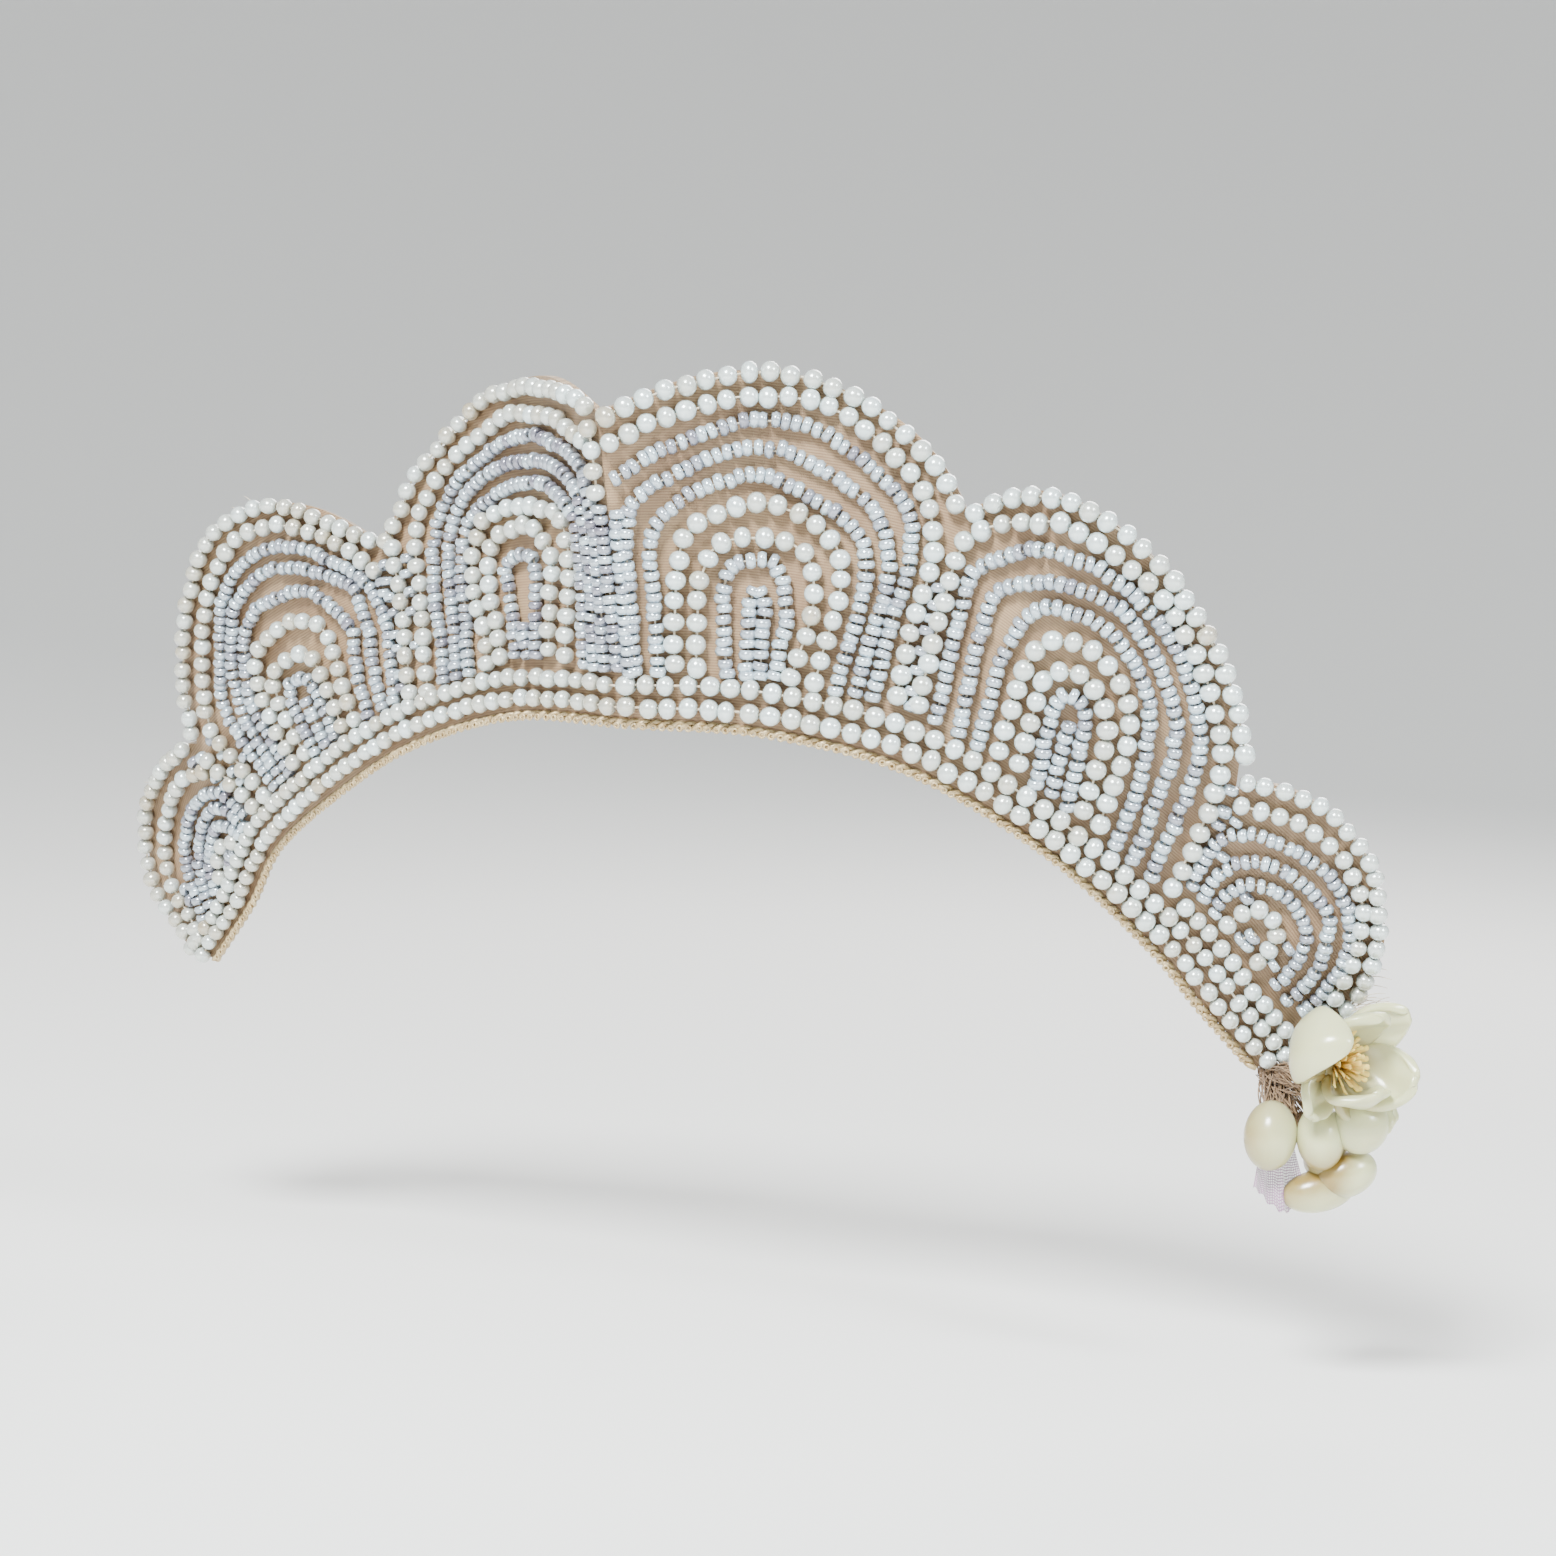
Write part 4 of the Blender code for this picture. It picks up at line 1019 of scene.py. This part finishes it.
GAP = 0.4 * MM
PETAL_LENGTH = 13.6 * MM
PETAL_WIDTH, PETAL_THICK = 0.81 * PETAL_LENGTH, 0.088 * PETAL_LENGTH
OPEN_CORE, STAMEN_LENGTH = 0.2 * PETAL_LENGTH, 0.265 * PETAL_LENGTH
HALF_CORE, BUD_RADIUS, KNOT_RADIUS, STEM_RADIUS = 3.3 * MM, 3.65 * MM, 1.7 * MM, 0.95 * MM
OPEN_WAY = unit(spray(0.70, -0.06, 0.71))
OPEN_PETALS = [
    # degrees round, share of length, share of width, heading at root and tip, cup
    (165, 1.42, 0.98, 136, -60, 0.44),
    (234, 0.57, 0.60, 112, 66, 0.20),
    (292, 0.80, 0.92, 84, -50, 0.28),
    (330, 0.90, 0.76, 98, 34, 0.22),
    (352, 0.93, 0.87, 74, -14, 0.24),
    (92, 0.88, 0.82, 78, -8, 0.22),
    (36, 1.00, 0.73, 92, 22, 0.20),
]
HALF_PETALS = [
    # across, up, out, half width, half length, half depth, degrees leaned
    (-0.45, 0.78, 1.10, 0.79, 1.15, 0.78, 4),
    (1.14, 1.38, 1.30, 0.98, 1.02, 0.80, -24),
    (0.76, -0.58, 0.27, 1.12, 0.76, 0.70, 24),
    (-0.33, -1.33, 0.00, 1.33, 0.67, 0.58, 14),
]
band_end = foot_and_rise(1, 6.0)[0]
# The throat of the open blossom lies over its core, which the stem meets.
throat = band_end + spray(0, 0, CLOTH / 2 + GAP + 2.7 * MM) + spray(0.66, -0.07, 0.45) * PETAL_LENGTH
blossom_middle = throat - OPEN_WAY * 0.22 * OPEN_CORE
half_middle = throat + spray(0.07, -0.86, -0.58) * PETAL_LENGTH
beside = half_middle + spray(-0.45, 0.67, 0.94) * HALF_CORE
bud_away = 0.85 * HALF_CORE + BUD_RADIUS + GAP
bud_middle = beside - spray(bud_away, 0.05 * bud_away, 0.03 * bud_away)
low_end = on_band(1, 6.0, 0.7 * MM)[0]
knot_middle = low_end + unit(low_end - on_band(1, 5.9, 0.7 * MM)[0]) * (KNOT_RADIUS + GAP)
print("throat at mm:", [round(float(c) / MM, 1) for c in throat])


# %% Open blossom
def wax_ball(name, centre, radius, stretch=(1, 1, 1), up=(0, 0, 1), out=None, ribs=24, rings=16):
    """Round or egg-shaped wax. up is its long way and out its front."""
    nothing_selected()
    bpy.ops.mesh.primitive_uv_sphere_add(segments=ribs, ring_count=rings, radius=radius)
    ball = bpy.context.object
    ball.name = name
    bpy.ops.object.mode_set(mode="EDIT")
    bpy.ops.transform.resize(value=stretch)
    bpy.ops.object.mode_set(mode="OBJECT")
    up = unit(up)
    front = OUT if out is None else out
    front = unit(front - up * float(np.dot(front, up)))
    turn = Matrix([np.cross(up, -front), -front, up]).transposed().to_4x4()
    ball.data.transform(Matrix.Translation(Vector(centre)) @ turn)
    bpy.ops.object.shade_smooth()
    return ball


def open_petal(row):
    round_at, long_share, wide_share, start, end, cup = row
    angle = math.radians(round_at)
    radial = spray(math.cos(angle), math.sin(angle), 0.0)
    radial = unit(radial - OPEN_WAY * float(radial @ OPEN_WAY))
    wide = np.cross(OPEN_WAY, radial)
    length = long_share * PETAL_LENGTH
    steps = 40
    path = [throat + OPEN_CORE * 0.22 * radial]
    for i in range(steps):
        heading = math.radians(start + (end - start) * (i + 0.5) / steps)
        path.append(path[-1] + length / steps * (radial * math.sin(heading) + OPEN_WAY * math.cos(heading)))
    path = np.array(path)

    def place(u, v):
        s, t = 2.0 * u - 1.0, v
        heading = math.radians(start + (end - start) * t)
        ahead = radial * math.sin(heading) + OPEN_WAY * math.cos(heading)
        inward = OPEN_WAY * math.sin(heading) - radial * math.cos(heading)
        half = wide_share * PETAL_WIDTH / 2 * (0.42 + 0.58 * math.sin(min(t / 0.55, 1.0) * math.pi / 2))
        half *= math.sqrt(1.0 - (max(0.0, t - 0.55) / 0.46) ** 2)
        p = np.array([np.interp(t * steps, range(steps + 1), path[:, i]) for i in range(3)])
        wave = 0.18 * MM * math.sin(5.0 * s + 9.0 * t + angle)
        return p + wide * s * half + inward * (cup * half * s * s + wave) - ahead * 0.16 * s * s * half * t

    petal = add_grid("petal_part", 12, 16)
    shape_grid(petal, place, lambda u, v: (u * PETAL_WIDTH, v * length))
    uv = petal.data.uv_layers.active.data
    # Painted shade: the tone runs from deep ochre at the root of the petal to full ivory towards its tip.
    tones = np.zeros(len(petal.data.vertices))
    for loop in petal.data.loops:
        tones[loop.vertex_index] = min(0.1 + uv[loop.index].uv[1] / length * 1.2, 1.0)
    paint_tone(petal.data, tones)
    rim = petal.modifiers.new("wall", "SOLIDIFY")
    rim.thickness = PETAL_THICK * 1.10
    rim.offset = 0.0
    soft = petal.modifiers.new("soft", "SUBSURF")
    soft.levels = soft.render_levels = 1
    apply_modifiers(petal)
    bpy.ops.object.shade_smooth()
    return petal


blossom_core = wax_ball("core_part", blossom_middle, OPEN_CORE, (1, 1, 0.8), OPEN_WAY)
# Painted shade: the core, deep in the blossom, is toned near the ochre end.
paint_tone(blossom_core.data, 0.25)
open_blossom = join_as("open_blossom", [blossom_core] + [open_petal(row) for row in OPEN_PETALS])
print("open blossom: %d faces" % len(open_blossom.data.polygons))


# %% Half-open blossom and bud
def cupped_petal(row):
    """A round petal closed over the core: an egg shape, opened at its back and given a wall."""
    turn = math.radians(row[6])
    up = spray(-math.sin(turn), math.cos(turn), 0.0)
    centre = half_middle + spray(*row[:3]) * HALF_CORE
    cup = wax_ball("petal_part", centre, HALF_CORE, (row[3], row[5], row[4]), up, OUT, 28, 20)
    bpy.ops.object.mode_set(mode="EDIT")
    bpy.ops.mesh.select_all(action="SELECT")
    back = Vector(centre - 0.35 * row[5] * HALF_CORE * OUT)
    bpy.ops.mesh.bisect(plane_co=back, plane_no=Vector(-OUT), clear_outer=True)
    bpy.ops.object.mode_set(mode="OBJECT")
    # Painted shade: darker near the core and at the seams between petals, lighter across to the right, and darker
    # still on the left of the lower petals.
    tones = []
    for vert in cup.data.vertices:
        away = (np.array(vert.co) - half_middle) / HALF_CORE
        across = float(away @ ACROSS)
        hollow_shade = 0.65 * max(0.0, row[0] - across) if row[1] < 0 else 0.0
        tones.append(min(max((np.linalg.norm(away) - 1.15) / 0.70 + 0.28 * across - hollow_shade, 0.0), 1.0))
    paint_tone(cup.data, tones)
    rim = cup.modifiers.new("wall", "SOLIDIFY")
    rim.thickness = 0.7 * MM
    rim.offset = -1.0
    apply_modifiers(cup)
    bpy.ops.object.shade_smooth()
    return cup


half_core = wax_ball("core_part", half_middle, HALF_CORE)
# Painted shade: the half-open core is toned near the ochre end.
paint_tone(half_core.data, 0.2)
half_blossom = join_as("half_open_blossom", [half_core] + [cupped_petal(row) for row in HALF_PETALS])
bud_place = bud_middle + spray(0.1, 0.7, 0.0) * MM
wax_bud = wax_ball("bud", bud_place, BUD_RADIUS, (1, 1, 1.32), unit(spray(0.06, 1.0, 0.1)), OUT, 32, 22)
# Painted light and shade: the bud is lighter at its front and on its right, and ochre at its back and on its left.
bud_light_and_shade = []
for vert in wax_bud.data.vertices:
    away = (np.array(vert.co) - bud_middle) / BUD_RADIUS
    bud_light_and_shade.append(min(max(0.46 + float(away @ (0.30 * OUT + 0.34 * ACROSS)), 0.05), 1.0))
paint_tone(wax_bud.data, bud_light_and_shade)
WAX_NODES = ((open_blossom, "wax_blossom"), (half_blossom, "wax_blossom_half_open"), (wax_bud, "wax_bud"))
for piece, node in WAX_NODES:
    piece.data.materials.clear()
    piece.data.materials.append(wax)
    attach(piece, "root")
    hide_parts(node)
print("wax pieces:", [piece.name for piece, node in WAX_NODES])


# %% [markdown]
# The stamens are stiff yellow threads that stand in a tuft in the open
# blossom's throat. One flat thread with a knob at its tip is modelled and
# copied round the throat, each copy leaning out a little more than the last.
# Hair particles could do this, but so few threads are easy to place in a loop.

# %% Stamens
yellow, yellow_tree, yellow_shader = new_finish("yellow_stamens", 0.6, Subsurface_Weight=0.2, Subsurface_Scale=0.0006)
yellow_tone = use_group(yellow_tree, TONE, Low=(0.46, 0.20, 0.015, 1), High=(0.86, 0.62, 0.16, 1))
yellow_clouds = use_group(yellow_tree, CLOUDY, Scale=1500.0)
yellow_tree.links.new(yellow_tone.outputs["Color"], yellow_shader.inputs["Base Color"])
add_bump(yellow_tree, yellow_shader, yellow_clouds.outputs["Mask"], 0.00005, 0.5)


STAMENS, STAMEN_MODEL, GOLDEN_ANGLE = 34, 1.28 * MM, 2.39996


def model_stamen():
    """One flat thread along Z from the origin, STAMEN_MODEL long with the knob at its end."""
    nothing_selected()
    bpy.ops.mesh.primitive_cylinder_add(vertices=7, radius=0.17 * MM, depth=1.0 * MM, location=(0, 0, 0.5 * MM))
    thread = bpy.context.object
    bpy.ops.object.mode_set(mode="EDIT")
    bpy.ops.mesh.select_all(action="DESELECT")
    shell = bmesh.from_edit_mesh(thread.data)
    for face in shell.faces:
        face.select_set(face.calc_center_median().z > 0.4 * MM and len(face.verts) > 4)
    bmesh.update_edit_mesh(thread.data)
    for grow, lift in ((1.25, 0.10), (1.1, 0.12), (0.55, 0.06)):
        bpy.ops.mesh.extrude_region_move(TRANSFORM_OT_translate={"value": (0, 0, lift * MM)})
        bpy.ops.transform.resize(value=(grow, grow, 1.0))
    bpy.ops.mesh.select_all(action="SELECT")
    bpy.ops.transform.resize(value=(1.85, 0.60, 1.0))
    bpy.ops.object.mode_set(mode="OBJECT")
    bpy.ops.object.transform_apply(location=True, rotation=True, scale=True)
    bpy.ops.object.shade_smooth()
    return thread


stamen_model = model_stamen()
paint_tone(stamen_model.data, [min(v.co.z / MM, 1.0) for v in stamen_model.data.vertices])
stamen_x = unit(np.cross((0.0, 0.0, 1.0), OPEN_WAY))
stamen_y = np.cross(OPEN_WAY, stamen_x)
stamen_foot = throat + OPEN_WAY * (0.58 * OPEN_CORE) + spray(-0.5, 0.6, 0.0) * MM
tuft = []
for i in range(STAMENS):
    angle = i * GOLDEN_ANGLE
    lean = math.sqrt((i + 0.5) / STAMENS)
    spoke = stamen_x * math.cos(angle) + stamen_y * math.sin(angle)
    foot = stamen_foot + spoke * lean * 0.26 * STAMEN_LENGTH
    rise = OPEN_WAY * STAMEN_LENGTH * chance.uniform(0.85, 1.10) * (1.10 - 0.40 * lean)
    tip = stamen_foot + spoke * lean * 1.30 * STAMEN_LENGTH + rise
    way = unit(tip - foot)
    side_way = unit(np.cross(way, spoke + 0.3 * OPEN_WAY))
    long = float(np.linalg.norm(tip - foot)) / STAMEN_MODEL
    tuft.append(copy_of(stamen_model, foot, side_way, np.cross(way, side_way), way * long))
bpy.data.objects.remove(stamen_model, do_unlink=True)
stamen_tuft = join_as("stamen_tuft", tuft)
stamen_tuft.data.materials.append(yellow)
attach(stamen_tuft, "root")
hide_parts("stamens")
print("stamens: %d" % len(tuft))


# %% [markdown]
# The stems are wires bound with brown thread. A tube follows each stem, and
# its radius rises and falls once for every turn of the thread, so the binding
# is real relief. It could be bump alone, but the stems are short and thick
# enough for the turns to show on their outline.

# %% Bound stems
stem_finish = cloudy_finish("stem_binding", 0.75, (0.30, 0.19, 0.10), (0.15, 0.085, 0.045), 900.0,
                            (0.00008, 0.5), Sheen_Weight=0.2)

open_end = blossom_middle - OPEN_WAY * (0.8 * OPEN_CORE)
open_bend = open_end - OPEN_WAY * 2 * STEM_RADIUS - spray(0, STEM_RADIUS, 0)
half_bend = knot_middle + spray(0.10, -0.24, -0.05) * PETAL_LENGTH
half_end = half_middle - unit(half_middle - half_bend) * HALF_CORE
bud_bend = knot_middle + spray(0.00, -0.20, 0.03) * PETAL_LENGTH
bud_end = bud_middle - unit(bud_middle - bud_bend) * BUD_RADIUS
stem_lines = []
for bend, end in ((open_bend, open_end), (half_bend, half_end), (bud_bend, bud_end)):
    points = [knot_middle, bend, end]
    length = sum(float(np.linalg.norm(b - a)) for a, b in zip(points, points[1:]))
    count = max(int(length / (0.11 * MM)), 12)
    line = smooth_line(points, count)
    stem_lines.append([(*p, 0.90 + 0.10 * math.cos(2 * math.pi * i / 4.0)) for i, p in enumerate(line)])
bound_stems = add_tube("bound_stems", stem_lines, STEM_RADIUS * 0.92, 2)
stem_knot = wax_ball("knot_part", knot_middle, KNOT_RADIUS, (1, 1, 0.9), unit(spray(1, 0.3, 0)), OUT, 20, 14)
stem_pieces = join_as("flower_stem_binding", [bound_stems, stem_knot])
stem_pieces.data.materials.clear()
stem_pieces.data.materials.append(stem_finish)
only(stem_pieces)
bpy.ops.object.shade_smooth()
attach(stem_pieces, "root")
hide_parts("flower_stems")
print("stems: %d faces" % len(stem_pieces.data.polygons))


# %% [markdown]
# Ends of the binding thread were left in a loose tangle between the band, the
# stems and the flowers. Every thread runs from the knot to one of the places
# it ties, by way of a chance point between them. Hair particles could fill the
# same space, but threads laid from end to end keep the tangle where it ties.

# %% Tangle of binding threads
def near(place, reach):
    """A chance point at most reach millimetres from a place."""
    away = unit([chance.gauss(0, 1) for _ in range(3)]) * reach * MM * chance.random() ** 0.33
    return np.asarray(place) + away


bud_top = bud_middle + spray(0.0, BUD_RADIUS, 0.0)
tangle_ends = [bud_top, bud_top + spray(2.2, 0.6, 0.0) * MM, half_end + spray(-0.5, 1.5, 0.0) * MM,
               open_bend, open_bend - spray(0.0, 2.5, -0.6) * MM, band_end + spray(1.2, 2.0, 0.8) * MM]
tangle = []
for i in range(210):
    start = near(knot_middle, 1.9)
    end = near(tangle_ends[i % len(tangle_ends)], 1.5)
    tangle.append(smooth_line([start, near((start + end) / 2, 1.7), end], 9))
thread_tangle = add_tube("thread_tangle", tangle, 0.10 * MM, 0)
thread_tangle.data.materials.append(stem_finish)
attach(thread_tangle, "root")
print("tangled threads: %d" % len(tangle))


# %% [markdown]
# A scrap of mauve tulle is tied in with the bud and frays below it. Tulle is a
# net, so the sheet is a thin gathered surface whose material is clear in the
# holes of the net. Real threads for every mesh would need far more faces than
# so small a piece deserves.

# %% Tulle scrap
tulle, tulle_tree, tulle_shader = new_finish("mauve_tulle", 0.85, Sheen_Weight=0.3)
tulle_net = use_group(tulle_tree, THREADS, Across=1500.0, Along=1500.0)
tulle_clouds = use_group(tulle_tree, CLOUDY, Light=(0.33, 0.16, 0.30, 1), Dark=(0.22, 0.10, 0.20, 1), Scale=500.0)
tulle_tree.links.new(tulle_clouds.outputs["Color"], tulle_shader.inputs["Base Color"])
tulle_hole = maths(tulle_tree, "GREATER_THAN", tulle_net.outputs["Gaps"], 0.22)
tulle_clear = maths(tulle_tree, "MULTIPLY", tulle_hole, 0.50)
tulle_tree.links.new(maths(tulle_tree, "SUBTRACT", 0.85, tulle_clear), tulle_shader.inputs["Alpha"])


def tulle_place(u, v):
    """Down from behind the bud to the frayed lower edge. Gathered where it is tied."""
    s = 2.0 * u - 1.0
    head = bud_middle + spray(0.2 * MM, 0.55 * BUD_RADIUS, -0.95 * BUD_RADIUS - 0.3 * MM)
    t = max(0.0, (v - 0.40) / 0.60)
    half = 3.7 * MM * (0.45 + 0.55 * v ** 0.8)
    folds = 0.72 * math.sin(2.1 * math.pi * s + 1.6 * v) + 0.30 * math.sin(5.3 * math.pi * s - 2.0 * v)
    wave = MM * (0.4 + v) * folds
    ragged = MM * v * (1.5 * math.cos(2.7 * s - 0.5) + 0.22 * math.cos(17.0 * s))
    down = 10.0 * MM * v + ragged * t
    return head + spray(s * half + 1.2 * MM + 0.4 * MM * v, -down, wave + 1.1 * MM * v)


tulle_scrap = add_grid("tulle_wisp", 44, 24)
shape_grid(tulle_scrap, tulle_place, lambda u, v: (u * 10 * MM, v * 10 * MM))
tulle_area = sum(face.area for face in tulle_scrap.data.polygons)
only(tulle_scrap)
bpy.ops.object.shade_smooth()
tulle_scrap.data.materials.append(tulle)
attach(tulle_scrap, "root")
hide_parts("tulle_scrap")
print("tulle area mm2: %.0f" % (tulle_area / MM / MM))


# %% [markdown]
# Old handwork sheds: a few hair-fine ends of thread stand out from the bead
# edge and round the spray. Each is a thin curved tube that starts on the band
# and bends as it goes.

# %% Loose threads
def stray(start, way, length, bend):
    line = []
    way, bend = unit(way), np.asarray(bend, float)
    for i in range(8):
        t = i / 7.0
        line.append((*(start + way * length * t + bend * length * t * t), 1.0 - 0.6 * t))
    return line


strays = []
EDGE_STRAYS = [
    # side, station, length in mm
    (1, 4.05, 2.2), (1, 4.55, 2.6), (1, 4.62, 2.0), (1, 5.35, 2.6), (1, 5.42, 3.0), (1, 5.50, 2.4),
    (-1, 2.72, 2.4), (-1, 2.80, 1.8), (1, 2.95, 1.6), (1, 1.10, 1.4), (-1, 4.6, 1.6),
]
for side, k, length in EDGE_STRAYS:
    start, out = on_band(side, k, top_height(side, k) - 0.3 * MM, 0.6 * MM)
    rise = foot_and_rise(side, k)[1]
    way = rise + 0.35 * out + 0.5 * np.array([chance.uniform(-1, 1), chance.uniform(-1, 1), 0.0])
    strays.append(stray(start, way, length * MM, 0.5 * np.array([chance.uniform(-1, 1), 0.0, -0.5])))
for i in range(24):
    off = [chance.uniform(2.5, 6.5) * MM, chance.uniform(7.5, 10.0) * MM, chance.uniform(-4, -2) * MM]
    way = spray(chance.uniform(0.3, 1), chance.uniform(0.3, 1), 0.3)
    strays.append(stray(throat + spray(*off), way, chance.uniform(2, 3.5) * MM, spray(0.3, -0.4, 0.1)))
loose_threads = add_tube("loose_threads", strays, 0.08 * MM, 0)
loose_threads.data.materials.append(string_finish)
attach(loose_threads, "root")
print("loose threads: %d" % len(strays))


# %% [markdown]
# The model beads have done their work and go. Then the dressed crown's box is
# printed beside that of the solids, so the two can be compared.

# %% Sizes and finish
for model in MODELS.values():
    bpy.data.objects.remove(model, do_unlink=True)
dressed_box = [list(corner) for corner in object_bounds()]
for label, box in (("solids", solid_box), ("dressed", dressed_box)):
    print(label, "mm:", [round((b - a) / MM, 1) for a, b in zip(*box)])
